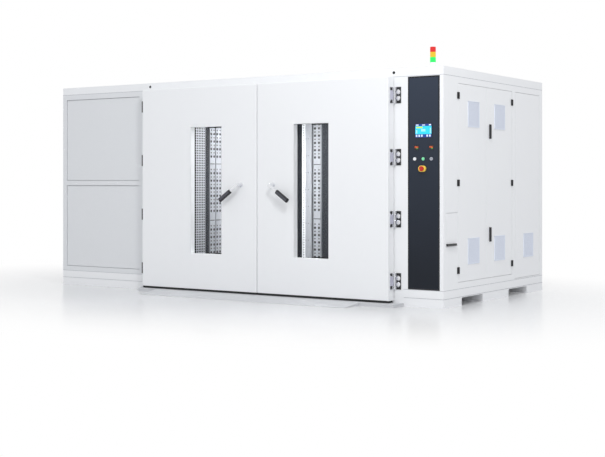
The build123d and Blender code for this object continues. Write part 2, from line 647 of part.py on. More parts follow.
# Control panel and its devices
with BuildPart() as control_panel:
    with BuildSketch(facing_front(FRONT + PANEL_THICKNESS)):
        rectangle(PANEL_X - PANEL_WIDTH / 2, PANEL_X + PANEL_WIDTH / 2, PANEL_BOTTOM, PANEL_TOP)
    extrude(amount=PANEL_THICKNESS + PANEL_PROUD)
    chamfer(control_panel.faces().sort_by(Axis.Y)[0].edges(), length=PANEL_PROUD)
    with BuildSketch(facing_front(FRONT + PANEL_THICKNESS)):
        cut_device_holes()
    extrude(amount=PANEL_THICKNESS + PANEL_PROUD, mode=Mode.SUBTRACT)
save(control_panel, "control_panel")


def panel_device(places, bezel, body, window, label):
    """Panel-mounted devices: a rounded bezel on the glass, a body through it, a recessed display."""
    with BuildPart() as device:
        with BuildSketch(facing_front(PANEL_FACE)):
            with Locations(*places):
                RectangleRounded(*bezel, BEZEL_ROUND)
        extrude(amount=SCREEN_PROUD)
        with BuildSketch(facing_front(PANEL_FACE)):
            with Locations(*places):
                Rectangle(*body)
        extrude(amount=-SIDE_FRAME)
        with BuildSketch(facing_front(PANEL_FACE - SCREEN_PROUD)):
            with Locations(*places):
                Rectangle(*window)
        extrude(amount=-DISPLAY_RECESS, mode=Mode.SUBTRACT)
    save(device, label)


panel_device([SCREEN_CENTRE], (SCREEN_WIDTH, SCREEN_HEIGHT), SCREEN_BODY,
             (SCREEN_WIDTH - 2 * SCREEN_BORDER, SCREEN_HEIGHT - 2 * SCREEN_BORDER), "touch_screen")
panel_device([(x, CONTROLLER_LEVEL) for x in CONTROLLER_CENTRES], (CONTROLLER, CONTROLLER),
             (CONTROLLER_BODY, CONTROLLER_BODY),
             (CONTROLLER - 2 * CONTROLLER_BORDER, CONTROLLER - 4 * CONTROLLER_BORDER), "limit_controllers")

with BuildPart() as button_bezels:
    for x in BUTTON_CENTRES:
        with BuildSketch(facing_front(PANEL_FACE)):
            with Locations((x, BUTTON_LEVEL)):
                Circle(BEZEL_RADIUS)
                Circle(BUTTON_RADIUS + RUNNING_FIT, mode=Mode.SUBTRACT)
        extrude(amount=BEZEL_HEIGHT)
save(button_bezels, "button_bezels")


def push_button(x, label):
    """A push button: a domed cap on a stem that slides in its bezel."""
    with BuildPart() as button:
        with BuildSketch(facing_front(FRONT + SIDE_FRAME - BUTTON_TRAVEL)):
            with Locations((x, BUTTON_LEVEL)):
                Circle(BUTTON_RADIUS)
        extrude(amount=SIDE_FRAME + BEZEL_HEIGHT + BUTTON_PROUD)
        fillet(button.faces().sort_by(Axis.Y)[0].edges(), radius=BUTTON_ROUND)
    save(button, label)


for button_x, colour in zip(BUTTON_CENTRES, ("white", "green", "grey")):
    push_button(button_x, f"button_{colour}")

with BuildPart() as estop_guard:
    with BuildSketch(facing_front(PANEL_FACE)):
        with Locations(ESTOP_CENTRE):
            RectangleRounded(GUARD_WIDTH, GUARD_HEIGHT, GUARD_ROUND)
    extrude(amount=GUARD_DEPTH, taper=GUARD_DRAFT)
    with BuildSketch(facing_front(PANEL_FACE - GUARD_BASE)):
        with Locations(ESTOP_CENTRE):
            Circle(ESTOP_RADIUS + GUARD_CLEARANCE)
    extrude(amount=GUARD_DEPTH, mode=Mode.SUBTRACT)
    with BuildSketch(facing_front(PANEL_FACE)):
        with Locations(ESTOP_CENTRE):
            Circle(BUTTON_RADIUS + RUNNING_FIT)
    extrude(amount=GUARD_CLEARANCE, mode=Mode.SUBTRACT)
save(estop_guard, "estop_guard")

with BuildPart() as estop_button:
    with BuildSketch(facing_front(FRONT + SIDE_FRAME - ESTOP_TRAVEL)):
        with Locations(ESTOP_CENTRE):
            Circle(BUTTON_RADIUS)
    extrude(amount=SIDE_FRAME + ESTOP_STEM)
    with BuildSketch(facing_front(PANEL_FACE - ESTOP_FOOT)):
        with Locations(ESTOP_CENTRE):
            Circle(ESTOP_RADIUS)
    extrude(amount=ESTOP_STEM)
    fillet(estop_button.faces().sort_by(Axis.Y)[0].edges(), radius=ESTOP_ROUND)
save(estop_button, "estop_button")


# Signal tower: a base and three lenses, one on the other
def tower_ring(bottom, height, foot_radius, label):
    """A turned ring of the tower, with a foot of another radius and a bevelled top."""
    with BuildPart() as ring:
        with BuildSketch(Plane((*TOWER_CENTRE, bottom), x_dir=(1, 0, 0), z_dir=(0, -1, 0))):
            with BuildLine():
                Polyline((0, 0), (foot_radius, 0), (foot_radius, TOWER_FOOT), (TOWER_RADIUS, TOWER_FOOT),
                         (TOWER_RADIUS, height - TOWER_BEVEL), (TOWER_RADIUS - TOWER_BEVEL, height),
                         (0, height), close=True)
            make_face()
        revolve(axis=Axis((*TOWER_CENTRE, 0), (0, 0, 1)))
    save(ring, label)


tower_ring(BODY_HEIGHT, TOWER_BASE, TOWER_RADIUS + 2 * TOWER_BEVEL, "tower_base")
for index, colour in enumerate(("green", "yellow", "red")):
    tower_ring(BODY_HEIGHT + TOWER_BASE + index * TOWER_SEGMENT, TOWER_SEGMENT,
               TOWER_RADIUS - TOWER_BEVEL, f"tower_{colour}")

# Sill plate in front of the doors, with a mitred left corner, and the wedge ramp before it
with BuildPart() as sill_plate:
    with BuildSketch(level(0)) as sill_outline:
        with BuildLine():
            Polyline((SEAM_LEFT, FRONT), (SEAM_LEFT + SILL_MITRE, FRONT - SILL_DEPTH),
                     (SEAM_RIGHT, FRONT - SILL_DEPTH), (SEAM_RIGHT, FRONT), close=True)
        make_face()
    extrude(amount=SILL_HEIGHT)
    with BuildSketch(level(0)):
        add(sill_outline.sketch)
        offset(amount=-PLINTH_SHEET, kind=Kind.INTERSECTION, mode=Mode.REPLACE)
    extrude(amount=SILL_HEIGHT - PLINTH_SHEET, mode=Mode.SUBTRACT)
save(sill_plate, "sill_plate")

RAMP_BACK = FRONT - SILL_DEPTH
with BuildPart() as entry_ramp:
    with BuildSketch(facing_right(RAMP_LEFT)) as ramp_section:
        with BuildLine():
            Polyline((RAMP_BACK, 0), (RAMP_BACK - RAMP_DEPTH, 0), (RAMP_BACK - RAMP_DEPTH, RAMP_EDGE),
                     (RAMP_BACK, SILL_HEIGHT), close=True)
        make_face()
    extrude(amount=RAMP_RIGHT - RAMP_LEFT)
    bay = (RAMP_RIGHT - RAMP_LEFT - PLINTH_SHEET) / RAMP_BAYS
    for step in range(RAMP_BAYS):
        with BuildSketch(facing_right(RAMP_LEFT + PLINTH_SHEET + step * bay)):
            with BuildLine():
                Polyline((RAMP_BACK - PLINTH_SHEET, 0), (RAMP_BACK - RAMP_DEPTH * RAMP_BAY_SHARE, 0),
                         (RAMP_BACK - PLINTH_SHEET, SILL_HEIGHT * RAMP_BAY_SHARE - PLINTH_SHEET), close=True)
            make_face()
        extrude(amount=bay - PLINTH_SHEET, mode=Mode.SUBTRACT)
save(entry_ramp, "entry_ramp")


# Main doors
def flank_half_angle(radius):
    """Half the angle that a pinion tooth spans at a radius, thinned by the backlash."""
    base = PITCH_RADIUS * cos(radians(PRESSURE_ANGLE))
    at_pitch = (pi * GEAR_MODULE / 2 - BACKLASH) / (2 * PITCH_RADIUS)
    reach = sqrt(max(radius / base, 1.0) ** 2 - 1)
    start = tan(radians(PRESSURE_ANGLE)) - radians(PRESSURE_ANGLE)
    return at_pitch + start - (reach - atan2(reach, 1))


def pinion_outline(x, z):
    """Points of the pinion's outline: involute flanks between the root and tip circles."""
    root = PITCH_RADIUS - PINION_ROOT * GEAR_MODULE
    tip = PITCH_RADIUS + GEAR_MODULE
    radii = [root + (tip - root) * share for share in TOOTH_SHARES]
    points = []
    for tooth in range(PINION_TEETH):
        middle = 2 * pi * tooth / PINION_TEETH
        flank = [(radius, flank_half_angle(radius)) for radius in radii]
        for radius, half in flank:
            points.append((x + radius * cos(middle - half), z + radius * sin(middle - half)))
        for radius, half in reversed(flank):
            points.append((x + radius * cos(middle + half), z + radius * sin(middle + half)))
    return points


def rack_outline(hub_x, direction, first, last, bar_end):
    """Points of a toothed bar beside the pinion: direction is its side, bar_end its far end."""
    pitch = pi * GEAR_MODULE
    slope = tan(radians(PRESSURE_ANGLE))
    root = PITCH_RADIUS + RACK_ROOT * GEAR_MODULE
    tip = PITCH_RADIUS - GEAR_MODULE
    half_at_pitch = (pitch / 2 - BACKLASH) / 2
    points = []
    for tooth in range(first, last + 1):
        middle = HANDLE_LEVEL + (tooth + 0.5) * pitch
        wide = half_at_pitch + (root - PITCH_RADIUS) * slope
        narrow = half_at_pitch - (PITCH_RADIUS - tip) * slope
        points += [(root, middle - wide), (tip, middle - narrow), (tip, middle + narrow), (root, middle + wide)]
    low = min(points[0][1], bar_end)
    high = max(points[-1][1], bar_end)
    outline = [(root + BOLT_BAR, low), (root, low), *points, (root, high), (root + BOLT_BAR, high)]
    tidy = [outline[0]]
    for point in outline[1:]:
        if abs(point[0] - tidy[-1][0]) + abs(point[1] - tidy[-1][1]) > RUNNING_FIT:
            tidy.append(point)
    return [(hub_x + direction * across, along) for across, along in tidy]


KNUCKLE_THIRD = HINGE_HEIGHT / 3


def build_door(side, name):
    """One leaf with its glass, gasket, hinges, handle and bolts; side is -1 left, 1 right."""
    inner = OPENING_SPLIT + side * LEAF_GAP / 2
    outer = inner + side * LEAF_WIDTH
    axis_x = outer + side * HINGE_OFFSET
    hub = OPENING_SPLIT + side * HANDLE_FROM_SPLIT
    window = OPENING_SPLIT + side * WINDOW_FROM_SPLIT
    window_x0, window_x1 = sorted((window, window + side * WINDOW_WIDTH))
    leaf_x0, leaf_x1 = sorted((inner, outer))

    with BuildPart() as leaf:
        with BuildSketch(level(LEAF_BOTTOM)):
            rectangle(leaf_x0, leaf_x1, LEAF_FRONT, LEAF_BACK)
        extrude(amount=LEAF_TOP - LEAF_BOTTOM)
        fillet(leaf.faces().sort_by(Axis.Y)[0].edges(), radius=LEAF_ROUND)
        with BuildSketch(facing_front(LEAF_FRONT)):
            rectangle(window_x0, window_x1, WINDOW_BOTTOM, WINDOW_TOP)
        extrude(amount=-LEAF_THICKNESS, mode=Mode.SUBTRACT)
        with BuildSketch(facing_front(LEAF_FRONT + WINDOW_RECESS)):
            rectangle(window_x0 - PANE_LAP, window_x1 + PANE_LAP, WINDOW_BOTTOM - PANE_LAP, WINDOW_TOP + PANE_LAP)
        extrude(amount=-(LEAF_THICKNESS - WINDOW_RECESS), mode=Mode.SUBTRACT)
        case_back = BOLT_Y + PINION_WIDTH / 2 + FIT
        with BuildSketch(facing_front(LEAF_BACK)):
            with Locations((hub, HANDLE_LEVEL)):
                RectangleRounded(2 * (BOLT_SIDE + BOLT_BAR), 2 * (BOLT_SIDE + BOLT_BAR), GEARBOX_ROUND)
        extrude(amount=-(case_back + GUIDE_WALL - LEAF_BACK))
        for level_z in GUIDE_LEVELS:
            place = hub + side * BOLT_SIDE * (1 if level_z < HANDLE_LEVEL else -1)
            with BuildSketch(facing_front(LEAF_BACK)):
                with Locations((place, level_z)):
                    Rectangle(BOLT_BAR + 2 * GUIDE_WALL + 2 * FIT, GUIDE_HEIGHT)
            extrude(amount=-(BOLT_Y + BOLT_DEPTH / 2 + FIT + GUIDE_WALL - LEAF_BACK))
        with BuildSketch(facing_front(BOLT_Y - PINION_WIDTH / 2 - FIT)):
            with Locations((hub, HANDLE_LEVEL)):
                Circle(PITCH_RADIUS + GEAR_MODULE + 2 * FIT)
        extrude(amount=-(PINION_WIDTH + 2 * FIT), mode=Mode.SUBTRACT)
        slot_ends = {1: (LEAF_BOTTOM, HANDLE_LEVEL + 2 * BOLT_SIDE), -1: (HANDLE_LEVEL - 2 * BOLT_SIDE, LEAF_TOP)}
        for hand, (bottom, top) in slot_ends.items():
            place = hub + side * hand * BOLT_SIDE
            with BuildSketch(facing_front(BOLT_Y - BOLT_DEPTH / 2 - FIT)):
                rectangle(place - BOLT_BAR / 2 - FIT, place + BOLT_BAR / 2 + FIT, bottom, top)
            extrude(amount=-(BOLT_DEPTH + 2 * FIT), mode=Mode.SUBTRACT)
            teeth_x0, teeth_x1 = sorted((place, place - side * hand * (BOLT_BAR / 2 + 3 * GEAR_MODULE)))
            with BuildSketch(facing_front(BOLT_Y - BOLT_DEPTH / 2 - FIT)):
                rectangle(teeth_x0, teeth_x1, HANDLE_LEVEL - 2 * BOLT_SIDE, HANDLE_LEVEL + 2 * BOLT_SIDE)
            extrude(amount=-(BOLT_DEPTH + 2 * FIT), mode=Mode.SUBTRACT)
        with BuildSketch(facing_front(LEAF_FRONT)):
            with Locations((hub, HANDLE_LEVEL)):
                Circle(SPINDLE_RADIUS + RUNNING_FIT)
        extrude(amount=-(2 * LEAF_THICKNESS), mode=Mode.SUBTRACT)
    save(leaf, f"{name}_door_leaf")

    pane_front = LEAF_FRONT + WINDOW_RECESS
    pane_back = pane_front + GLASS + PANE_SPACE
    with BuildPart() as glass:
        for start in (pane_front, pane_back):
            with BuildSketch(facing_front(start)):
                rectangle(window_x0 - PANE_LAP + FIT, window_x1 + PANE_LAP - FIT,
                          WINDOW_BOTTOM - PANE_LAP + FIT, WINDOW_TOP + PANE_LAP - FIT)
            extrude(amount=-GLASS)
    save(glass, f"{name}_door_glass")

    with BuildPart() as gasket:
        gasket_x0, gasket_x1 = sorted((inner + side * SPINDLE_RADIUS, outer - side * GASKET_WIDTH / 2))
        with BuildSketch(facing_front(LEAF_BACK)):
            rectangle(gasket_x0, gasket_x1, FLOOR_TOP - 2 * GASKET_WIDTH, OPENING_TOP + 2 * GASKET_WIDTH)
            offset(amount=-GASKET_WIDTH, mode=Mode.SUBTRACT)
        extrude(amount=-(GASKET - FIT))
        with BuildSketch(facing_front(pane_front + GLASS)):
            rectangle(window_x0 - PANE_LAP + FIT, window_x1 + PANE_LAP - FIT,
                      WINDOW_BOTTOM - PANE_LAP + FIT, WINDOW_TOP + PANE_LAP - FIT)
            rectangle(window_x0, window_x1, WINDOW_BOTTOM, WINDOW_TOP, mode=Mode.SUBTRACT)
        extrude(amount=-PANE_SPACE)
    save(gasket, f"{name}_door_gasket")

    with BuildPart() as hinges:
        for level_z in HINGE_LEVELS:
            plane = Plane((outer, HINGE_Y - KNUCKLE_RADIUS - HINGE_CLEARANCE, level_z),
                          x_dir=(0, -1, 0), z_dir=(side, 0, 0))
            with BuildSketch(plane):
                with Locations((DOOR_LEAF_DEPTH / 2, 0)):
                    RectangleRounded(DOOR_LEAF_DEPTH, HINGE_HEIGHT, HINGE_ROUND)
            extrude(amount=HINGE_LEAF)
            with BuildSketch(level(level_z - KNUCKLE_THIRD / 2 + KNUCKLE_GAP)):
                rectangle(*sorted((outer, outer + side * HINGE_LEAF)), HINGE_Y - KNUCKLE_RADIUS - HINGE_LEAF, HINGE_Y)
                with Locations((axis_x, HINGE_Y)):
                    Circle(KNUCKLE_RADIUS)
                    Circle(PIN_RADIUS + RUNNING_FIT, mode=Mode.SUBTRACT)
            extrude(amount=KNUCKLE_THIRD - 2 * KNUCKLE_GAP)
    save(hinges, f"{name}_door_hinges")

    drop = radians(HANDLE_DROP)
    lever = Plane((hub, LEAF_FRONT - HUB_HEIGHT, HANDLE_LEVEL), x_dir=(side * cos(drop), 0, -sin(drop)),
                  z_dir=(0, -1, 0))
    with BuildPart() as handle:
        with BuildSketch(facing_front(LEAF_FRONT)):
            with Locations((hub, HANDLE_LEVEL)):
                Circle(ROSE_RADIUS)
        extrude(amount=ROSE_HEIGHT, taper=ROSE_DRAFT)
        with BuildSketch(facing_front(LEAF_FRONT)):
            with Locations((hub, HANDLE_LEVEL)):
                Circle(HUB_RADIUS)
        extrude(amount=HUB_HEIGHT + ARM_THICKNESS)
        fillet(handle.faces().sort_by(Axis.Y)[0].edges(), radius=HUB_ROUND)
        with BuildSketch(lever):
            with Locations(((GRIP_START + GRIP_NECK) / 2, 0)):
                Rectangle(GRIP_START + GRIP_NECK, ARM_WIDTH)
        extrude(amount=ARM_THICKNESS)
        with BuildSketch(facing_front(LEAF_FRONT)):
            with Locations((hub, HANDLE_LEVEL)):
                Circle(SPINDLE_RADIUS)
        extrude(amount=-(BOLT_Y + PINION_WIDTH / 2 - LEAF_FRONT + GUIDE_WALL))
        with BuildSketch(facing_front(BOLT_Y - PINION_WIDTH / 2)):
            with BuildLine():
                Polyline(*pinion_outline(hub, HANDLE_LEVEL), close=True)
            make_face()
        extrude(amount=-PINION_WIDTH)
    save(handle, f"{name}_handle")

    direction = lever.x_dir
    arm_middle = lever.origin + lever.z_dir * (ARM_THICKNESS / 2)
    with BuildPart() as grip:
        with BuildSketch(Plane(arm_middle, x_dir=direction, z_dir=lever.y_dir)):
            with BuildLine():
                Polyline((GRIP_START, 0), (GRIP_START, GRIP_RADIUS - GRIP_COLLAR),
                         (GRIP_START + GRIP_COLLAR, GRIP_RADIUS - GRIP_COLLAR_DROP),
                         (GRIP_END - GRIP_RADIUS, GRIP_RADIUS))
                RadiusArc((GRIP_END - GRIP_RADIUS, GRIP_RADIUS), (GRIP_END, 0), GRIP_RADIUS)
                Line((GRIP_END, 0), (GRIP_START, 0))
            make_face()
        revolve(axis=Axis(arm_middle, direction))
        with BuildSketch(Plane(arm_middle, x_dir=lever.y_dir, z_dir=direction)):
            Rectangle(ARM_WIDTH, ARM_THICKNESS)
        extrude(amount=GRIP_START + GRIP_NECK, mode=Mode.SUBTRACT)
    save(grip, f"{name}_handle_grip")

    with BuildPart() as upper_bolt:
        with BuildSketch(facing_front(BOLT_Y - BOLT_DEPTH / 2)):
            with BuildLine():
                Polyline(*rack_outline(hub, -side, *UPPER_RACK_TEETH, OPENING_TOP - BOLT_REST_GAP), close=True)
            make_face()
        extrude(amount=-BOLT_DEPTH)
    save(upper_bolt, f"{name}_upper_bolt")
    with BuildPart() as lower_bolt:
        with BuildSketch(facing_front(BOLT_Y - BOLT_DEPTH / 2)):
            with BuildLine():
                Polyline(*rack_outline(hub, side, *LOWER_RACK_TEETH, FLOOR_TOP + BOLT_REST_GAP), close=True)
            make_face()
        extrude(amount=-BOLT_DEPTH)
    save(lower_bolt, f"{name}_lower_bolt")


build_door(-1, "left")
build_door(1, "right")

# Frame halves of the main hinges, with their pins and bolt caps
with BuildPart() as frame_hinges:
    for side in (-1, 1):
        axis_x = OPENING_SPLIT + side * HINGE_SPAN
        for level_z in HINGE_LEVELS:
            leaf_x = axis_x + side * (KNUCKLE_RADIUS + HINGE_CLEARANCE)
            plane = Plane((leaf_x, FRONT, level_z), x_dir=(side, 0, 0), z_dir=(0, -1, 0))
            with BuildSketch(plane):
                with Locations((FRAME_LEAF_WIDTH / 2, 0)):
                    RectangleRounded(FRAME_LEAF_WIDTH, HINGE_HEIGHT, HINGE_ROUND)
            extrude(amount=HINGE_LEAF)
            for end in (-1, 1):
                bottom = level_z - KNUCKLE_THIRD / 2 if end > 0 else level_z - HINGE_HEIGHT / 2
                start = bottom + (KNUCKLE_THIRD + KNUCKLE_GAP if end > 0 else 0)
                with BuildSketch(level(start)):
                    rectangle(*sorted((axis_x, axis_x + side * 2 * KNUCKLE_RADIUS)), FRONT - HINGE_LEAF, FRONT)
                    with Locations((axis_x, HINGE_Y)):
                        Circle(KNUCKLE_RADIUS)
                extrude(amount=KNUCKLE_THIRD - KNUCKLE_GAP)
            with BuildSketch(level(level_z - HINGE_HEIGHT / 2)):
                with Locations((axis_x, HINGE_Y)):
                    Circle(PIN_RADIUS)
            extrude(amount=HINGE_HEIGHT)
            cap_x = leaf_x + side * FRAME_LEAF_WIDTH / 2
            with BuildSketch(facing_front(FRONT - HINGE_LEAF)):
                with Locations((cap_x, level_z - BOLT_CAP_PITCH / 2), (cap_x, level_z + BOLT_CAP_PITCH / 2)):
                    Circle(BOLT_CAP_RADIUS)
            extrude(amount=BOLT_CAP_HEIGHT, taper=BOLT_CAP_DRAFT)
save(frame_hinges, "frame_hinges")


# Side doors, rear side panel and flap of the machine cabinet
SIDE_AXIS_X = RIGHT + SIDE_KNUCKLE + FIT
SIDE_THIRD = SIDE_HINGE_HEIGHT / 3
SIDE_PLATE = SIDE_HINGE_WIDTH / 2 - SIDE_KNUCKLE - 1.0


def louvre_sections(z, count=VENT_SLATS):
    """Outlines of one vent's inclined slats, seen from the front."""
    opening = VENT - 2 * VENT_FRAME
    pitch = opening / count
    for step in range(count):
        low = z - opening / 2 + (step + VENT_SLAT_START) * pitch
        high = low + pitch * VENT_SLAT_RISE
        back = RIGHT - VENT_DEPTH + VENT_SLAT_INSET
        front = RIGHT + VENT_SLAT_THICKNESS - VENT_SLAT_INSET
        yield [(back, high), (front, low), (front, low + 2 * VENT_SLAT_THICKNESS),
               (back, high + 2 * VENT_SLAT_THICKNESS)]


def side_panel(label, start, end, bottom, top, vents, hinge_side=0, handle_y=None):
    """A folded sheet tray with louvred vents; hinge_side is the edge its hinges stand on."""
    with BuildPart() as tray:
        with BuildSketch(facing_right(RIGHT - SIDE_DOOR_THICKNESS)):
            rectangle(start, end, bottom, top)
        extrude(amount=SIDE_DOOR_THICKNESS)
        with BuildSketch(facing_right(RIGHT - SIDE_DOOR_THICKNESS)):
            rectangle(start, end, bottom, top)
            offset(amount=-SIDE_SKIN, mode=Mode.REPLACE)
        extrude(amount=SIDE_DOOR_THICKNESS - SIDE_SKIN, mode=Mode.SUBTRACT)
        fillet(tray.faces().sort_by(Axis.X)[-1].edges(), radius=SIDE_SKIN * ROUND_SHARE)
        with BuildSketch(facing_right(RIGHT - VENT_DEPTH)):
            with Locations(*vents):
                Rectangle(VENT, VENT)
        extrude(amount=VENT_DEPTH + VENT_SLAT_THICKNESS)
        with BuildSketch(facing_right(RIGHT - VENT_DEPTH)):
            with Locations(*vents):
                Rectangle(VENT - 2 * VENT_FRAME, VENT - 2 * VENT_FRAME)
        extrude(amount=VENT_DEPTH + VENT_SLAT_THICKNESS, mode=Mode.SUBTRACT)
        for vent_y, vent_z in vents:
            with BuildSketch(facing_front(vent_y - VENT / 2 + VENT_FRAME - VENT_SLAT_SEAT)):
                for outline in louvre_sections(vent_z):
                    with BuildLine():
                        Polyline(*outline, close=True)
                    make_face()
            extrude(amount=-(VENT - 2 * VENT_FRAME + 2 * VENT_SLAT_SEAT))
        if hinge_side:
            edge = end if hinge_side > 0 else start
            axis_y = edge + hinge_side * SIDE_GAP / 2
            for level_z in SIDE_HINGE_LEVELS:
                with BuildSketch(facing_right(RIGHT)):
                    rectangle(*sorted((axis_y - hinge_side * (SIDE_KNUCKLE + HINGE_CLEARANCE),
                                       axis_y - hinge_side * (SIDE_KNUCKLE + HINGE_CLEARANCE + SIDE_PLATE))),
                              level_z - SIDE_HINGE_HEIGHT / 2, level_z + SIDE_HINGE_HEIGHT / 2)
                extrude(amount=SIDE_HINGE_THICKNESS)
                with BuildSketch(level(level_z - SIDE_THIRD / 2 + KNUCKLE_GAP)):
                    with BuildLine():
                        Polyline((RIGHT + FIT, axis_y), (RIGHT + FIT, axis_y - hinge_side * SIDE_KNUCKLE * 2),
                                 (RIGHT + SIDE_HINGE_THICKNESS, axis_y - hinge_side * SIDE_KNUCKLE * 2),
                                 (SIDE_AXIS_X, axis_y), close=True)
                    make_face()
                    with Locations((SIDE_AXIS_X, axis_y)):
                        Circle(SIDE_KNUCKLE)
                        Circle(SIDE_PIN + RUNNING_FIT, mode=Mode.SUBTRACT)
                extrude(amount=SIDE_THIRD - 2 * KNUCKLE_GAP)
        if handle_y is not None:
            with BuildSketch(facing_right(RIGHT)):
                with Locations(*[(handle_y, level_z) for level_z in SWING_HANDLE_LEVELS]):
                    Circle(SWING_STEM + RUNNING_FIT)
            extrude(amount=-SIDE_DOOR_THICKNESS, mode=Mode.SUBTRACT)
    save(tray, label)


side_panel("side_door_front", SIDE_DOOR_FRONT, SIDE_DOOR_SPLIT - SIDE_GAP, SIDE_DOOR_BOTTOM, SIDE_DOOR_TOP,
           [(VENT_FRONT_DOOR, VENT_LOWER), (VENT_FRONT_DOOR, VENT_UPPER)], hinge_side=-1)
side_panel("side_door_rear", SIDE_DOOR_SPLIT, SIDE_DOOR_REAR, SIDE_DOOR_BOTTOM, SIDE_DOOR_TOP,
           [(VENT_REAR_DOOR, VENT_LOWER), (VENT_REAR_DOOR, VENT_UPPER)], hinge_side=1,
           handle_y=SWING_HANDLE_Y)
side_panel("side_rear_panel", SIDE_PANEL_FRONT, SIDE_PANEL_REAR, SIDE_PANEL_BOTTOM + FRAME_LAP, SIDE_PANEL_TOP,
           [(VENT_REAR_PANEL, VENT_LOWER)])

with BuildPart() as side_hinges:
    for edge, hinge_side in ((SIDE_DOOR_FRONT, -1), (SIDE_DOOR_REAR, 1)):
        axis_y = edge + hinge_side * SIDE_GAP / 2
        for level_z in SIDE_HINGE_LEVELS:
            with BuildSketch(facing_right(RIGHT)):
                rectangle(*sorted((axis_y + hinge_side * (SIDE_KNUCKLE + HINGE_CLEARANCE),
                                   axis_y + hinge_side * (SIDE_KNUCKLE + HINGE_CLEARANCE + SIDE_PLATE))),
                          level_z - SIDE_HINGE_HEIGHT / 2, level_z + SIDE_HINGE_HEIGHT / 2)
            extrude(amount=SIDE_HINGE_THICKNESS)
            for start in (level_z - SIDE_HINGE_HEIGHT / 2, level_z + SIDE_THIRD / 2 + KNUCKLE_GAP):
                with BuildSketch(level(start)):
                    with BuildLine():
                        Polyline((RIGHT + FIT, axis_y), (RIGHT + FIT, axis_y + hinge_side * SIDE_KNUCKLE * 2),
                                 (RIGHT + SIDE_HINGE_THICKNESS, axis_y + hinge_side * SIDE_KNUCKLE * 2),
                                 (SIDE_AXIS_X, axis_y), close=True)
                    make_face()
                    with Locations((SIDE_AXIS_X, axis_y)):
                        Circle(SIDE_KNUCKLE)
                extrude(amount=SIDE_THIRD - KNUCKLE_GAP)
            with BuildSketch(level(level_z - SIDE_HINGE_HEIGHT / 2)):
                with Locations((SIDE_AXIS_X, axis_y)):
                    Circle(SIDE_PIN)
            extrude(amount=SIDE_HINGE_HEIGHT)
save(side_hinges, "side_hinges")


def swing_handle(level_z, label):
    """A swing handle: a curved bar on a stem, with the latch tongue behind the door skin."""
    with BuildPart() as handle:
        with BuildSketch(facing_right(RIGHT)):
            with Locations((SWING_HANDLE_Y, level_z)):
                SlotOverall(SWING_HANDLE_LENGTH, SWING_HANDLE_WIDTH, rotation=90)
        extrude(amount=SWING_HANDLE_PROUD, taper=8)
        with BuildSketch(facing_right(RIGHT)):
            with Locations((SWING_HANDLE_Y, level_z)):
                Circle(SWING_STEM)
        extrude(amount=-(SIDE_DOOR_THICKNESS + SIDE_GAP))
        with BuildSketch(facing_right(RIGHT - SIDE_DOOR_THICKNESS - FIT)):
            with Locations((SWING_HANDLE_Y, level_z - TONGUE_LENGTH / 2 + TONGUE_WIDTH / 2)):
                SlotOverall(TONGUE_LENGTH, TONGUE_WIDTH, rotation=90)
        extrude(amount=-(SIDE_GAP - FIT))
    save(handle, label)


swing_handle(SWING_HANDLE_LEVELS[0], "side_handle_lower")
swing_handle(SWING_HANDLE_LEVELS[1], "side_handle_upper")

with BuildPart() as side_flap:
    with BuildSketch(facing_right(RIGHT - FLAP_THICKNESS)):
        rectangle(FLAP_FRONT, FLAP_REAR, FLAP_BOTTOM, FLAP_TOP)
    extrude(amount=FLAP_THICKNESS)
    with BuildSketch(facing_right(RIGHT - FLAP_THICKNESS)):
        rectangle(FLAP_FRONT, FLAP_REAR, FLAP_BOTTOM, FLAP_TOP)
        offset(amount=-FRAME_LAP, mode=Mode.REPLACE)
    extrude(amount=FLAP_THICKNESS - SIDE_SKIN, mode=Mode.SUBTRACT)
    fillet(side_flap.faces().sort_by(Axis.X)[-1].edges().sort_by(Axis.Z)[-1], radius=FLAP_AXIS_SETBACK)
    with BuildSketch(facing_front(FLAP_REAR + SIDE_GAP + FLAP_PIN_REACH)):
        with Locations((FLAP_AXIS_X, FLAP_AXIS_Z)):
            Circle(SIDE_PIN)
    extrude(amount=FRAME_LAP)
    with BuildSketch(facing_front(FLAP_FRONT - SIDE_GAP - FLAP_PIN_REACH)):
        with Locations((FLAP_AXIS_X, FLAP_AXIS_Z)):
            Circle(SIDE_PIN)
    extrude(amount=-FRAME_LAP)
    with BuildSketch(facing_right(RIGHT)):
        with Locations((FLAP_FRONT + PULL_LENGTH / 2 + SIDE_GAP, FLAP_BOTTOM + PULL_HEIGHT / 2 + SIDE_GAP)):
            RectangleRounded(PULL_LENGTH, PULL_HEIGHT, SIDE_GAP)
    extrude(amount=PULL_HEIGHT, taper=15)
save(side_flap, "side_flap")

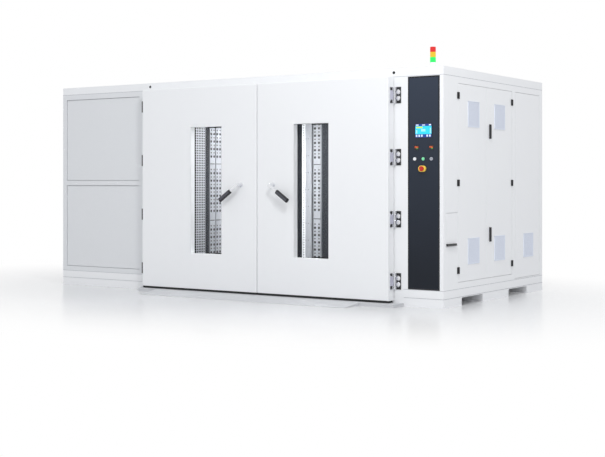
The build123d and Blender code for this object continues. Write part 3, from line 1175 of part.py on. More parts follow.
# Air handler in the left cabinet: coil, heater bank, and a fan behind a ring in its deck
COIL_X = LEFT + WALL + COIL_MARGIN
DECK_X = ROOM_LEFT - FAN_SPACE
HEATER_X = (COIL_X + COIL_THICKNESS + DECK_X) / 2
coil_half = (WALL_REAR - WALL_FRONT) / 2 - COIL_MARGIN
coil_top = FLOOR_TOP + FAN_LEVEL
with BuildPart() as evaporator:
    with BuildSketch(facing_right(COIL_X)):
        rectangle(-coil_half, coil_half, FLOOR_TOP, coil_top)
        rectangle(-coil_half + COIL_MARGIN, coil_half - COIL_MARGIN, FLOOR_TOP + COIL_MARGIN,
                  coil_top - COIL_MARGIN, mode=Mode.SUBTRACT)
    extrude(amount=COIL_THICKNESS)
    with BuildSketch(facing_right(COIL_X + COIL_MARGIN)):
        with Locations((0, (FLOOR_TOP + coil_top) / 2)):
            with GridLocations(2 * (coil_half - COIL_MARGIN) / (COIL_FINS + 1), 0, COIL_FINS, 1):
                Rectangle(COIL_FIN, coil_top - FLOOR_TOP - 2 * COIL_MARGIN)
    extrude(amount=COIL_THICKNESS - 2 * COIL_MARGIN)
    with BuildSketch(facing_right(COIL_X + COIL_THICKNESS / 2 - HEATER_RADIUS)):
        with Locations((0, (FLOOR_TOP + coil_top) / 2)):
            with GridLocations(0, (coil_top - FLOOR_TOP) / (HEATER_RODS + 1), 1, HEATER_RODS):
                Rectangle(2 * (coil_half - COIL_MARGIN), 2 * HEATER_RADIUS)
    extrude(amount=2 * HEATER_RADIUS)
save(evaporator, "evaporator")

with BuildPart() as heater_bank:
    for end in (-1, 1):
        with BuildSketch(facing_front(end * coil_half)):
            rectangle(HEATER_X - COIL_MARGIN, HEATER_X + COIL_MARGIN, FLOOR_TOP, coil_top)
        extrude(amount=end * HEATER_PLATE)
    with BuildSketch(facing_front(coil_half)):
        with Locations((HEATER_X, (FLOOR_TOP + coil_top) / 2)):
            with GridLocations(0, (coil_top - FLOOR_TOP) / (HEATER_RODS + 1), 1, HEATER_RODS):
                Circle(HEATER_RADIUS)
    extrude(amount=2 * coil_half)
save(heater_bank, "heater_bank")


def fan_blade(root, tip):
    """One twisted fan blade along +X of its own frame, lofted from root to tip."""
    with BuildPart() as blade:
        for radius, chord, twist in ((root, tip * BLADE_ROOT_CHORD, BLADE_ROOT_TWIST),
                                     (tip, tip * BLADE_TIP_CHORD, BLADE_TIP_TWIST)):
            plane = Plane((radius, 0, 0), x_dir=(0, 1, 0), z_dir=(1, 0, 0))
            with BuildSketch(plane):
                Rectangle(chord, BLADE_THICKNESS, rotation=twist)
        loft()
    return blade.part


def fan_wheel(centre, radius, hub_radius, hub_length, bore, label):
    """A fan wheel on an axis along X: a hub with a bore and twisted blades round it."""
    blade = fan_blade(hub_radius - 2 * BLADE_THICKNESS, radius * BLADE_REACH)
    with BuildPart() as wheel:
        with BuildSketch():
            Circle(hub_radius)
        extrude(amount=hub_length / 2, both=True)
        with PolarLocations(0, FAN_BLADES):
            add(blade)
        with BuildSketch():
            Circle(bore)
        extrude(amount=hub_length, both=True, mode=Mode.SUBTRACT)
    with BuildPart() as placed:
        add(wheel.part.moved(Plane(centre, x_dir=(0, 1, 0), z_dir=(1, 0, 0)).location))
    save(placed, label)


with BuildPart() as fan_deck:
    with BuildSketch(facing_right(DECK_X)):
        rectangle(WALL_FRONT, WALL_REAR, FLOOR_TOP, WALL_TOP)
        with Locations((0, FAN_LEVEL)):
            Circle(FAN_RADIUS + FAN_TIP_GAP, mode=Mode.SUBTRACT)
    extrude(amount=FAN_DECK_SHEET)
    with BuildSketch(facing_right(DECK_X)):
        with Locations((0, FAN_LEVEL)):
            Circle(FAN_RADIUS + FAN_TIP_GAP + FAN_DECK_SHEET)
            Circle(FAN_RADIUS + FAN_TIP_GAP, mode=Mode.SUBTRACT)
    extrude(amount=-FAN_HUB_LENGTH)
    with BuildSketch(facing_right(DECK_X - FAN_HUB_LENGTH)):
        with Locations((0, FAN_LEVEL)):
            Rectangle(2 * (FAN_RADIUS + FAN_TIP_GAP) + FAN_DECK_SHEET, COIL_MARGIN)
            Rectangle(COIL_MARGIN, 2 * (FAN_RADIUS + FAN_TIP_GAP) + FAN_DECK_SHEET)
    extrude(amount=-FAN_DECK_SHEET)
    with BuildSketch(facing_right(DECK_X - FAN_HUB_LENGTH)):
        with Locations((0, FAN_LEVEL)):
            Circle(MOTOR_RADIUS)
    extrude(amount=-MOTOR_LENGTH)
    with BuildSketch(facing_right(DECK_X - FAN_HUB_LENGTH)):
        with Locations((0, FAN_LEVEL)):
            Circle(SHAFT_RADIUS)
    extrude(amount=FAN_HUB_LENGTH + SHAFT_RADIUS)
save(fan_deck, "fan_deck")
fan_wheel((DECK_X - FAN_HUB_LENGTH / 2 + 5 * FAN_DECK_SHEET, 0, FAN_LEVEL), FAN_RADIUS, FAN_HUB_RADIUS,
          FAN_HUB_LENGTH - 2 * FAN_DECK_SHEET, SHAFT_RADIUS + RUNNING_FIT, "circulation_fan")

# Refrigeration in the machine cabinet
with BuildPart() as compressors:
    for place in COMPRESSOR_PLACES:
        centre_x = (SEAM_RIGHT + SIDE_INNER) / 2
        with BuildSketch(level(FLOOR_TOP)):
            with Locations((centre_x, place)):
                RectangleRounded(2 * COMPRESSOR_RADIUS, 2 * COMPRESSOR_RADIUS, COIL_MARGIN)
        extrude(amount=COMPRESSOR_FOOT)
        with BuildSketch(level(FLOOR_TOP + COMPRESSOR_FOOT)):
            with Locations((centre_x, place)):
                Circle(COMPRESSOR_RADIUS)
        extrude(amount=COMPRESSOR_HEIGHT)
    caps = compressors.faces().filter_by(GeomType.PLANE).group_by(Axis.Z)[-1]
    fillet(caps.edges(), radius=COMPRESSOR_RADIUS * ROUND_SHARE)
save(compressors, "compressors")

CONDENSER_Y = (VENT_REAR_DOOR + VENT_REAR_PANEL) / 2
CONDENSER_X = SEAM_RIGHT + COIL_MARGIN
condenser_level = FLOOR_TOP + CONDENSER_HEIGHT / 2
with BuildPart() as condenser:
    with BuildSketch(facing_right(CONDENSER_X)):
        rectangle(CONDENSER_Y - CONDENSER_WIDTH / 2, CONDENSER_Y + CONDENSER_WIDTH / 2,
                  FLOOR_TOP, FLOOR_TOP + CONDENSER_HEIGHT)
        with Locations((CONDENSER_Y, condenser_level)):
            Circle(CONDENSER_FAN_RADIUS + FAN_TIP_GAP, mode=Mode.SUBTRACT)
    extrude(amount=CONDENSER_THICKNESS)
    with BuildSketch(facing_right(CONDENSER_X)):
        with Locations((CONDENSER_Y, condenser_level)):
            Rectangle(2 * (CONDENSER_FAN_RADIUS + FAN_TIP_GAP) + FAN_DECK_SHEET, COIL_MARGIN)
            Rectangle(COIL_MARGIN, 2 * (CONDENSER_FAN_RADIUS + FAN_TIP_GAP) + FAN_DECK_SHEET)
    extrude(amount=FAN_DECK_SHEET)
    with BuildSketch(facing_right(CONDENSER_X)):
        with Locations((CONDENSER_Y, condenser_level)):
            Circle(SHAFT_RADIUS)
    extrude(amount=CONDENSER_THICKNESS)
save(condenser, "condenser")
fan_wheel((CONDENSER_X + CONDENSER_THICKNESS / 2 + FAN_DECK_SHEET, CONDENSER_Y, condenser_level),
          CONDENSER_FAN_RADIUS, FAN_HUB_RADIUS, CONDENSER_THICKNESS - 4 * FAN_DECK_SHEET,
          SHAFT_RADIUS + RUNNING_FIT, "condenser_fan")
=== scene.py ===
from functools import cache
from math import cos, pi, radians, sin

import bmesh
import bpy
from mathutils import Matrix, Vector


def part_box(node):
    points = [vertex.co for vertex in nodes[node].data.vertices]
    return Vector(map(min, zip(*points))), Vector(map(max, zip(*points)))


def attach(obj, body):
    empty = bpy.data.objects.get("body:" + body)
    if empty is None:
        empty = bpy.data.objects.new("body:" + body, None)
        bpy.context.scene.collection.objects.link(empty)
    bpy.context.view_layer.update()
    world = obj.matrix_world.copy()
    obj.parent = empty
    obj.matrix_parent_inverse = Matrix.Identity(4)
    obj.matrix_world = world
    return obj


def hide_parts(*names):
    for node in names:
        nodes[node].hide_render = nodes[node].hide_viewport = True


bl_info = {
    "name": "Walk-in test chamber looks",
    "version": (1, 1, 0),
    "blender": (4, 5, 0),
    "location": "View3D > Sidebar > Chamber",
    "description": "Finishes, perforated linings, display, fittings and stage of a walk-in test chamber",
    "category": "Object",
}

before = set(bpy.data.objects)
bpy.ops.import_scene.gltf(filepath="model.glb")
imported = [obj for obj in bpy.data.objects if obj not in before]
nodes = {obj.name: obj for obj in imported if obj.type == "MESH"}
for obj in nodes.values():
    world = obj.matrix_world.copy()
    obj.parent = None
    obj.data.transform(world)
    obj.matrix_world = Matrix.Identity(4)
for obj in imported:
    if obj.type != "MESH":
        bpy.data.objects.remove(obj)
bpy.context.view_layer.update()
UP = Vector((0.0, 0.0, 1.0))
FRONTWARD = Vector((0.0, -1.0, 0.0))


# Node trees
def feed(tree, socket, value):
    """Feeds an input from another socket, or sets it to a plain value."""
    if isinstance(value, bpy.types.NodeSocket):
        tree.links.new(value, socket)
    else:
        socket.default_value = value


def added(tree, kind, *ordered, **named):
    """A new node, with inputs given in their order or by name with spaces as underscores."""
    node = tree.nodes.new(kind)
    for socket, value in zip(node.inputs, ordered):
        feed(tree, socket, value)
    for name, value in named.items():
        feed(tree, node.inputs[name.replace("_", " ")], value)
    return node


def maths(tree, operation, *values, clamp=False):
    """The result of a Math node on sockets or numbers."""
    node = added(tree, "ShaderNodeMath", *values)
    node.operation = operation
    node.use_clamp = clamp
    return node.outputs[0]


def new_group(kind, name, inputs, outputs):
    """A node group with sockets given as (name, type) or (name, type, value), and what it takes and gives."""
    group = bpy.data.node_groups.new(name, kind)
    for side, sockets in (("INPUT", inputs), ("OUTPUT", outputs)):
        for label, socket_type, *value in sockets:
            socket = group.interface.new_socket(name=label, in_out=side, socket_type="NodeSocket" + socket_type)
            if value:
                socket.default_value = value[0]
    return group, group.nodes.new("NodeGroupInput").outputs, group.nodes.new("NodeGroupOutput").inputs


# Finishes: shader groups shared by several materials
@cache
def powder_grain():
    """Fine orange-peel height and a faint uneven tone, as powder coat has."""
    group, take, give = new_group(
        "ShaderNodeTree", "powder_grain", (("Vector", "Vector"), ("Scale", "Float", 900.0), ("Tone", "Float", 0.02)),
        (("Height", "Float"), ("Shade", "Float")))
    grain = added(group, "ShaderNodeTexNoise", Vector=take["Vector"], Scale=take["Scale"], Detail=2.0)
    cloud = added(group, "ShaderNodeTexNoise", Vector=take["Vector"], Scale=1.3, Detail=3.0)
    centred = maths(group, "SUBTRACT", cloud.outputs["Fac"], 0.5)
    feed(group, give["Height"], grain.outputs["Fac"])
    feed(group, give["Shade"], maths(group, "MULTIPLY_ADD", centred, take["Tone"], 1.0))
    return group


@cache
def brushed_lines():
    """Long fine scratches along one axis: the vector is squeezed across it before the noise."""
    group, take, give = new_group(
        "ShaderNodeTree", "brushed_lines",
        (("Vector", "Vector"), ("Fineness", "Float", 700.0), ("Low", "Float", 0.22), ("High", "Float", 0.4)),
        (("Height", "Float"), ("Roughness", "Float")))
    lines = added(group, "ShaderNodeTexNoise", Vector=take["Vector"], Scale=take["Fineness"], Detail=3.0)
    spread = added(group, "ShaderNodeMapRange", Value=lines.outputs["Fac"], To_Min=take["Low"], To_Max=take["High"])
    feed(group, give["Height"], lines.outputs["Fac"])
    feed(group, give["Roughness"], spread.outputs["Result"])
    return group


def principled(name, colour, roughness=0.5, **sockets):
    """A new material with a Principled shader; extra sockets are set by name with spaces as underscores."""
    material = bpy.data.materials.new(name)
    material.use_nodes = True
    shader = material.node_tree.nodes["Principled BSDF"]
    shader.inputs["Base Color"].default_value = (*colour, 1.0)
    shader.inputs["Roughness"].default_value = roughness
    for key, value in sockets.items():
        shader.inputs[key.replace("_", " ")].default_value = value
    material.diffuse_color = (*colour, 1.0)
    return material, shader


def object_vector(tree, **mapping):
    """Object coordinates through a Mapping node."""
    place = tree.nodes.new("ShaderNodeTexCoord")
    return added(tree, "ShaderNodeMapping", Vector=place.outputs["Object"], **mapping).outputs["Vector"]


def textured(tree, shader, group, strength, distance, stretch=(1.0, 1.0, 1.0), **inputs):
    """Lays a shared group over a material, with its height as a bump; returns the group's outputs."""
    node = tree.nodes.new("ShaderNodeGroup")
    node.node_tree = group
    feed(tree, node.inputs["Vector"], object_vector(tree, Scale=stretch))
    for name, value in inputs.items():
        node.inputs[name].default_value = value
    bump = added(tree, "ShaderNodeBump", Strength=strength, Distance=distance, Height=node.outputs["Height"])
    feed(tree, shader.inputs["Normal"], bump.outputs["Normal"])
    return node.outputs


def tinted(tree, shader, colour, shade):
    """Base Color as a plain colour times a shade that varies over the surface."""
    mix = tree.nodes.new("ShaderNodeVectorMath")
    mix.operation = "SCALE"
    feed(tree, mix.inputs[0], colour)
    feed(tree, mix.inputs["Scale"], shade)
    feed(tree, shader.inputs["Base Color"], mix.outputs["Vector"])


def powder_coat(name, colour, roughness=0.42):
    """Sprayed and baked powder coat: an even pale colour, a soft gloss and a fine texture."""
    material, shader = principled(name, colour, roughness)
    tree = material.node_tree
    made = textured(tree, shader, powder_grain(), 0.12, 0.0002, Scale=650.0, Tone=0.02)
    tinted(tree, shader, colour, made["Shade"])
    return material


def brushed_metal(name, colour, low=0.22, high=0.4, metallic=1.0):
    """Brushed or satin metal with upright lines; its roughness runs from low to high."""
    material, shader = principled(name, colour, (low + high) / 2, Metallic=metallic)
    tree = material.node_tree
    made = textured(tree, shader, brushed_lines(), 0.05, 0.0001, (1.0, 1.0, 0.02), Fineness=700.0, Low=low, High=high)
    feed(tree, shader.inputs["Roughness"], made["Roughness"])
    return material


def moulded(name, colour, roughness=0.4, coat=0.0, grain=0.0):
    """Plastic or rubber, with a fine grain where it is matt."""
    material, shader = principled(name, colour, roughness, Coat_Weight=coat)
    if grain:
        textured(material.node_tree, shader, powder_grain(), grain, 0.0002, Scale=1400.0)
    return material


def lit(name, colour, strength):
    """A glowing surface with a dark gloss front, as a display or an indicator has."""
    material, shader = principled(name, tuple(c * 0.25 for c in colour), 0.25)
    shader.inputs["Emission Color"].default_value = (*colour, 1.0)
    shader.inputs["Emission Strength"].default_value = strength
    return material


def painted_reflection_fade(name, colour, low, high, darker, lighter):
    """A plain plate whose tone changes evenly from its bottom to its top, lighter upward: a painted reflection of the
    pale room in a gloss face.
    """
    material, shader = principled(name, colour, 0.3, Specular_IOR_Level=0.2)
    tree = material.node_tree
    split = added(tree, "ShaderNodeSeparateXYZ", object_vector(tree))
    fade = added(tree, "ShaderNodeMapRange", Value=split.outputs["Z"], From_Min=low, From_Max=high,
                 To_Min=darker, To_Max=lighter)
    tinted(tree, shader, colour, fade.outputs["Result"])
    return material


def clear_glass(name, colour):
    """Clear door glass."""
    return principled(name, colour, 0.0, Transmission_Weight=1.0, IOR=1.12)[0]


# Meshes and pieces
def add_box(bm, low, high, bevel=0.0):
    """Adds a box between two corners in metres, with bevelled edges if asked."""
    low, high = Vector(low), Vector(high)
    made = bmesh.ops.create_cube(bm, size=1.0)
    for vert in made["verts"]:
        vert.co = Vector((low[i] + (vert.co[i] + 0.5) * (high[i] - low[i]) for i in range(3)))
    if bevel:
        edges = {edge for vert in made["verts"] for edge in vert.link_edges}
        bmesh.ops.bevel(bm, geom=list(edges), offset=bevel, segments=2, profile=0.5, affect="EDGES")


def add_tube(bm, centre, axis, radius, length, sides=24, bevel=0.0):
    """Adds a closed cylinder that starts at centre and runs along axis, its far rim bevelled if asked."""
    axis = Vector(axis).normalized()
    turn = UP.rotation_difference(axis).to_matrix().to_4x4()
    turn.translation = Vector(centre) + axis * length / 2
    made = bmesh.ops.create_cone(bm, cap_ends=True, segments=sides, radius1=radius, radius2=radius,
                                 depth=length, matrix=turn)
    if bevel:
        far = Vector(centre) + axis * length
        rim = {edge for vert in made["verts"] for edge in vert.link_edges
               if all(abs((v.co - far).dot(axis)) < 1e-6 for v in edge.verts)}
        bmesh.ops.bevel(bm, geom=list(rim), offset=bevel, segments=3, profile=0.5, affect="EDGES")


def add_ring(bm, centre, inner, outer, thick, sides=32, stretch=0.0):
    """Adds a closed flat ring that faces the front; stretch parts its outer half circles into an oblong."""
    loops = []
    for step in range(sides):
        angle = 2 * pi * (step + 0.5) / sides
        part = stretch if cos(angle) > 0 else -stretch
        near = (inner * cos(angle), inner * sin(angle))
        far = (outer * cos(angle) + part, outer * sin(angle))
        section = ((near, 0.0), (far, 0.0), (far, thick), (near, thick))
        loops.append([bm.verts.new((centre[0] + x, centre[1] - depth, centre[2] + z)) for (x, z), depth in section])
    for step, loop in enumerate(loops):
        following = loops[(step + 1) % sides]
        for corner in range(4):
            after = (corner + 1) % 4
            bm.faces.new((loop[corner], loop[after], following[after], following[corner]))
    bmesh.ops.recalc_face_normals(bm, faces=bm.faces)


def border_bars(x0, x1, z0, z1, wide, lap=0.0):
    """The four bars of a rectangular border, as (x0, x1, z0, z1); lap shortens the level ones at both ends."""
    return ((x0, x0 + wide, z0, z1), (x1 - wide, x1, z0, z1),
            (x0 + lap, x1 - lap, z0, z0 + wide), (x0 + lap, x1 - lap, z1 - wide, z1))


def stand(whole, mesh, origin, across):
    """Adds a flat mesh made in XY to a bmesh, with its X along across and its Y upward, and removes it."""
    across = Vector(across)
    mesh.transform(Matrix((across, UP, across.cross(UP))).transposed().to_4x4())
    mesh.transform(Matrix.Translation(Vector(origin)))
    whole.from_mesh(mesh)
    bpy.data.meshes.remove(mesh)


def placed(name, data):
    """A new object in the scene."""
    made = bpy.data.objects.new(name, data)
    bpy.context.scene.collection.objects.link(made)
    return made


def piece(name, shape, look, body="cabinet", replaces=()):
    """Turns a bmesh or a finished mesh into a piece with a finish and a slot, which rides on a body."""
    mesh = shape
    if isinstance(shape, bmesh.types.BMesh):
        mesh = bpy.data.meshes.new(name)
        shape.to_mesh(mesh)
        shape.free()
    mesh.materials.clear()
    mesh.materials.append(finish(look))
    made = placed(name, mesh)
    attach(made, body)
    if replaces:
        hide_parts(*replaces)


# Geometry Nodes
def geometry_group(name, inputs):
    """A geometry node group whose first input is a geometry and whose last is a material."""
    return new_group("GeometryNodeTree", name, (("Geometry", "Geometry"), *inputs, ("Material", "Material")),
                     (("Geometry", "Geometry"),))


def end_group(group, give, take, instances):
    """Ends a geometry group: the geometry is made real and gets the material."""
    real = added(group, "GeometryNodeRealizeInstances", Geometry=instances)
    done = added(group, "GeometryNodeSetMaterial", Geometry=real.outputs["Geometry"], Material=take["Material"])
    feed(group, give["Geometry"], done.outputs["Geometry"])
    return group


def on_points(group, places, shape, **turn):
    """Instances of a shape on points."""
    made = added(group, "GeometryNodeInstanceOnPoints", Points=places, Instance=shape, **turn)
    return made.outputs["Instances"]


@cache
def perforated_sheet():
    """A flat sheet with a grid of round holes, and a second set of holes between the rows if asked."""
    group, take, give = geometry_group("perforated_sheet", (
        ("Width", "Float", 0.26), ("Height", "Float", 1.98), ("Columns", "Int", 8), ("Rows", "Int", 60),
        ("Pitch X", "Float", 0.031), ("Pitch Y", "Float", 0.029), ("Hole", "Float", 0.008),
        ("Small hole", "Float", 0.0), ("Sides", "Int", 8), ("Thickness", "Float", 0.002)))
    across, along = (maths(group, "MULTIPLY", maths(group, "SUBTRACT", take[number], 1.0), take[pitch])
                     for number, pitch in (("Columns", "Pitch X"), ("Rows", "Pitch Y")))
    grid = added(group, "GeometryNodeMeshGrid", Size_X=across, Size_Y=along,
                 Vertices_X=take["Columns"], Vertices_Y=take["Rows"]).outputs["Mesh"]
    shift = added(group, "ShaderNodeCombineXYZ", Y=maths(group, "MULTIPLY", take["Pitch Y"], 0.5))
    between = added(group, "GeometryNodeSetPosition", Geometry=grid, Offset=shift.outputs["Vector"])
    border = added(group, "GeometryNodeCurvePrimitiveQuadrilateral", Width=take["Width"], Height=take["Height"])
    wires = added(group, "GeometryNodeJoinGeometry", Geometry=border.outputs["Curve"])
    for places, radius in ((grid, take["Hole"]), (between.outputs["Geometry"], take["Small hole"])):
        ring = added(group, "GeometryNodeCurvePrimitiveCircle", Resolution=take["Sides"], Radius=radius)
        rings = on_points(group, places, ring.outputs["Curve"])
        real = added(group, "GeometryNodeRealizeInstances", Geometry=rings)
        chosen = group.nodes.new("GeometryNodeSwitch")
        chosen.input_type = "GEOMETRY"
        feed(group, chosen.inputs["Switch"], maths(group, "GREATER_THAN", radius, 0.0))
        feed(group, chosen.inputs["True"], real.outputs["Geometry"])
        feed(group, wires.inputs["Geometry"], chosen.outputs["Output"])
    face = added(group, "GeometryNodeFillCurve", Curve=wires.outputs["Geometry"]).outputs["Mesh"]
    back = added(group, "GeometryNodeFlipFaces", Mesh=face)
    raised = added(group, "GeometryNodeExtrudeMesh", Mesh=face, Offset_Scale=take["Thickness"], Individual=False)
    both = added(group, "GeometryNodeJoinGeometry", Geometry=back.outputs["Mesh"])
    feed(group, both.inputs["Geometry"], raised.outputs["Mesh"])
    welded = added(group, "GeometryNodeMergeByDistance", Geometry=both.outputs["Geometry"], Distance=0.00001)
    return end_group(group, give, take, welded.outputs["Geometry"])


@cache
def fastener_heads():
    """A low round head with a chamfered top on every point of the input."""
    group, take, give = geometry_group("fastener_heads", (
        ("Radius", "Float", 0.004), ("Height", "Float", 0.002), ("Sides", "Int", 12),
        ("Facing", "Vector", (0.0, 0.0, 1.0))))
    rim = maths(group, "MULTIPLY", take["Radius"], 0.72)
    head = added(group, "GeometryNodeMeshCone", Vertices=take["Sides"], Radius_Top=rim,
                 Radius_Bottom=take["Radius"], Depth=take["Height"])
    turned = added(group, "FunctionNodeAlignRotationToVector", Vector=take["Facing"])
    turned.axis = "Z"
    heads = on_points(group, take["Geometry"], head.outputs["Mesh"], Rotation=turned.outputs["Rotation"])
    return end_group(group, give, take, heads)


@cache
def tilted_slats():
    """A row of tilted slats in the XY plane: long in X, stepped along Y, leaning out of the plane."""
    group, take, give = geometry_group("tilted_slats", (
        ("Width", "Float", 0.24), ("Slats", "Int", 18), ("Pitch", "Float", 0.013), ("Depth", "Float", 0.011),
        ("Thickness", "Float", 0.001), ("Tilt", "Float", 0.3)))
    last = maths(group, "SUBTRACT", take["Slats"], 1.0)
    first = maths(group, "MULTIPLY", maths(group, "MULTIPLY", last, take["Pitch"]), -0.5)
    base, step = (added(group, "ShaderNodeCombineXYZ", Y=value).outputs["Vector"] for value in (first, take["Pitch"]))
    places = added(group, "GeometryNodeMeshLine", Count=take["Slats"], Start_Location=base, Offset=step)
    size = added(group, "ShaderNodeCombineXYZ", take["Width"], take["Depth"], take["Thickness"])
    slat = added(group, "GeometryNodeMeshCube", Size=size.outputs["Vector"])
    lean = added(group, "ShaderNodeCombineXYZ", X=take["Tilt"])
    rows = on_points(group, places.outputs["Mesh"], slat.outputs["Mesh"], Rotation=lean.outputs["Vector"])
    return end_group(group, give, take, rows)


def grown(group, look, points=(), **values):
    """Runs a geometry group on points, with a finish and inputs named with underscores; returns a plain mesh."""
    seed = bpy.data.meshes.new("seed")
    seed.from_pydata([tuple(point) for point in points], [], [])
    carrier = placed("carrier", seed)
    modifier = carrier.modifiers.new(group.name, "NODES")
    modifier.node_group = group
    keys = {item.name: item.identifier for item in group.interface.items_tree if item.in_out == "INPUT"}
    modifier[keys["Material"]] = finish(look)
    for label, value in values.items():
        modifier[keys[label.replace("_", " ")]] = value
    depsgraph = bpy.context.evaluated_depsgraph_get()
    mesh = bpy.data.meshes.new_from_object(carrier.evaluated_get(depsgraph), depsgraph=depsgraph)
    carrier.modifiers.remove(modifier)
    bpy.data.objects.remove(carrier)
    bpy.data.meshes.remove(seed)
    return mesh


# Sizes and colours that a user would change
def colour(name, about, value):
    """A colour property in linear RGB."""
    return bpy.props.FloatVectorProperty(name=name, description=about, subtype="COLOR", size=3,
                                         min=0.0, max=1.0, default=value)


def length(name, about, value, low=0.0):
    """A length property in metres."""
    return bpy.props.FloatProperty(name=name, description=about, default=value, min=low,
                                   subtype="DISTANCE", unit="LENGTH", precision=4)


class ChamberColours(bpy.types.PropertyGroup):
    """Colours of the finishes."""
    body: colour("Body", "Powder coat of the doors and the machine cabinet", (0.86, 0.87, 0.885))
    side: colour("Left cabinet", "Powder coat of the left cabinet", (0.74, 0.755, 0.775))
    # the lining's near black is painted shade of the dim inside of the test room
    liner: colour("Liner", "Dark lining of the test room", (0.014, 0.016, 0.021))
    panel: colour("Control panel", "Slate blue face of the control panel", (0.019, 0.025, 0.038))
    steel: colour("Steel", "Stainless steel of the air panels and uprights", (0.80, 0.81, 0.84))
    chrome: colour("Chrome", "Hinges and handle arms", (0.80, 0.81, 0.84))
    black: colour("Black", "Black painted fittings", (0.012, 0.012, 0.014))
    grip: colour("Grip", "Plastic sleeve of the door handles", (0.008, 0.008, 0.011))
    # a lighter copy of the grip's plastic for its front face: painted light where the lamp falls
    grip_face: colour("Grip face", "Front face of the door handles", (0.06, 0.06, 0.075))
    vent: colour("Vent", "Filter pads behind the louvres", (0.80, 0.84, 0.93))
    ramp: colour("Ramp", "Sill and entry ramp", (0.56, 0.57, 0.59))


class ChamberSizes(bpy.types.PropertyGroup):
    """Sizes of what repeats."""
    air_pitch_y: length("Air hole pitch across", "Distance between the columns of air holes", 0.031, 0.01)
    air_pitch_z: length("Air hole pitch up", "Distance between the rows of air holes", 0.029, 0.01)
    air_hole: length("Air hole radius", "Radius of an air hole", 0.011, 0.001)
    slot_pitch: length("Upright pitch", "Distance between the large holes of an upright", 0.090, 0.02)
    slot_hole: length("Upright hole radius", "Radius of the large holes of an upright", 0.016, 0.001)
    small_hole: length("Upright small hole radius", "Radius of the small holes of an upright", 0.010, 0.001)
    joint_level: length("Upright joint level", "Height of the upper joint between two lengths of upright", 1.415)
    joint_step: length("Upright joint step", "Distance between the two joints", 0.672)
    joint_plain: length("Plain end", "Part without holes at each side of the joint", 0.02)


# By finish: its maker, its colour or the property that holds it, and the maker's next values in their order
FINISHES = {
    "body_paint": (powder_coat, "body"),
    "left_paint": (powder_coat, "side"),
    "ramp_paint": (powder_coat, "ramp", 0.5),
    # lining of the test room, painted near black as the shade inside the room
    "dark_lining": (powder_coat, "liner", 0.5),
    "black_metal": (powder_coat, "black", 0.4),
    "stainless": (brushed_metal, "steel", 0.22, 0.4, 0.75),
    "polished_chrome": (brushed_metal, "chrome", 0.08, 0.16),
    "bezel_metal": (brushed_metal, (0.5, 0.52, 0.56), 0.15, 0.25),
    "mill_aluminium": (brushed_metal, (0.75, 0.76, 0.78), 0.3, 0.5),
    "gasket_rubber": (moulded, (0.012, 0.012, 0.013), 0.7, 0.0, 0.1),
    "grip_plastic": (moulded, "grip", 0.38, 0.0, 0.05),
    # front face of the grips: painted light on the grip's own plastic
    "grip_face": (moulded, "grip_face", 0.35, 0.0, 0.04),
    "filter_pad": (moulded, "vent", 0.8),
    "hinge_plate": (moulded, (0.55, 0.55, 0.66), 0.35),
    "seam_sealant": (moulded, (0.42, 0.43, 0.46), 0.6),
    # grey of the body seams: painted shade in the joints
    "panel_border": (moulded, (0.002, 0.003, 0.008), 0.3),
    "device_black": (moulded, (0.01, 0.011, 0.015), 0.35),
    "machine_black": (moulded, (0.02, 0.02, 0.022), 0.25, 0.4),
    "pale_green": (moulded, (0.25, 0.78, 0.42), 0.3),
    "pale_grey": (moulded, (0.42, 0.44, 0.5), 0.3),
    "white_plastic": (moulded, (0.85, 0.87, 0.9), 0.25, 0.3),
    "green_plastic": (moulded, (0.2, 0.8, 0.4), 0.25, 0.3),
    "grey_plastic": (moulded, (0.3, 0.32, 0.37), 0.25, 0.3),
    "red_plastic": (moulded, (0.5, 0.012, 0.008), 0.35, 0.2),
    "yellow_plastic": (moulded, (0.98, 0.68, 0.09), 0.35, 0.2),
    "door_glass": (clear_glass, (0.98, 0.99, 1.0)),
    # the control panel's face is painted lighter towards its top: a painted reflection
    "slate_panel": (painted_reflection_fade, "panel", 0.3, 2.2, 0.55, 1.75),
    "lens_green": (lit, (0.02, 0.95, 0.15), 0.8),
    "lens_yellow": (lit, (1.0, 0.66, 0.02), 0.6),
    "lens_red": (lit, (0.95, 0.02, 0.02), 0.55),
    "screen_cyan": (lit, (0.02, 0.62, 0.95), 1.0),
    "screen_blue": (lit, (0.01, 0.05, 0.30), 0.9),
    "screen_white": (lit, (0.75, 0.85, 1.0), 0.9),
    "screen_yellow": (lit, (0.55, 0.85, 0.12), 0.9),
    "screen_pale": (lit, (0.35, 0.85, 0.98), 0.9),
    "digits_orange": (lit, (1.0, 0.16, 0.03), 1.0),
    "digits_green": (lit, (0.12, 0.75, 0.12), 0.9),
}


@cache
def finish(name):
    """A finish by name, made the first time that it is asked for."""
    maker, shade, *values = FINISHES[name]
    if isinstance(shade, str):
        shade = tuple(getattr(bpy.context.scene.chamber_colours, shade))
    return maker(name, shade, *values)


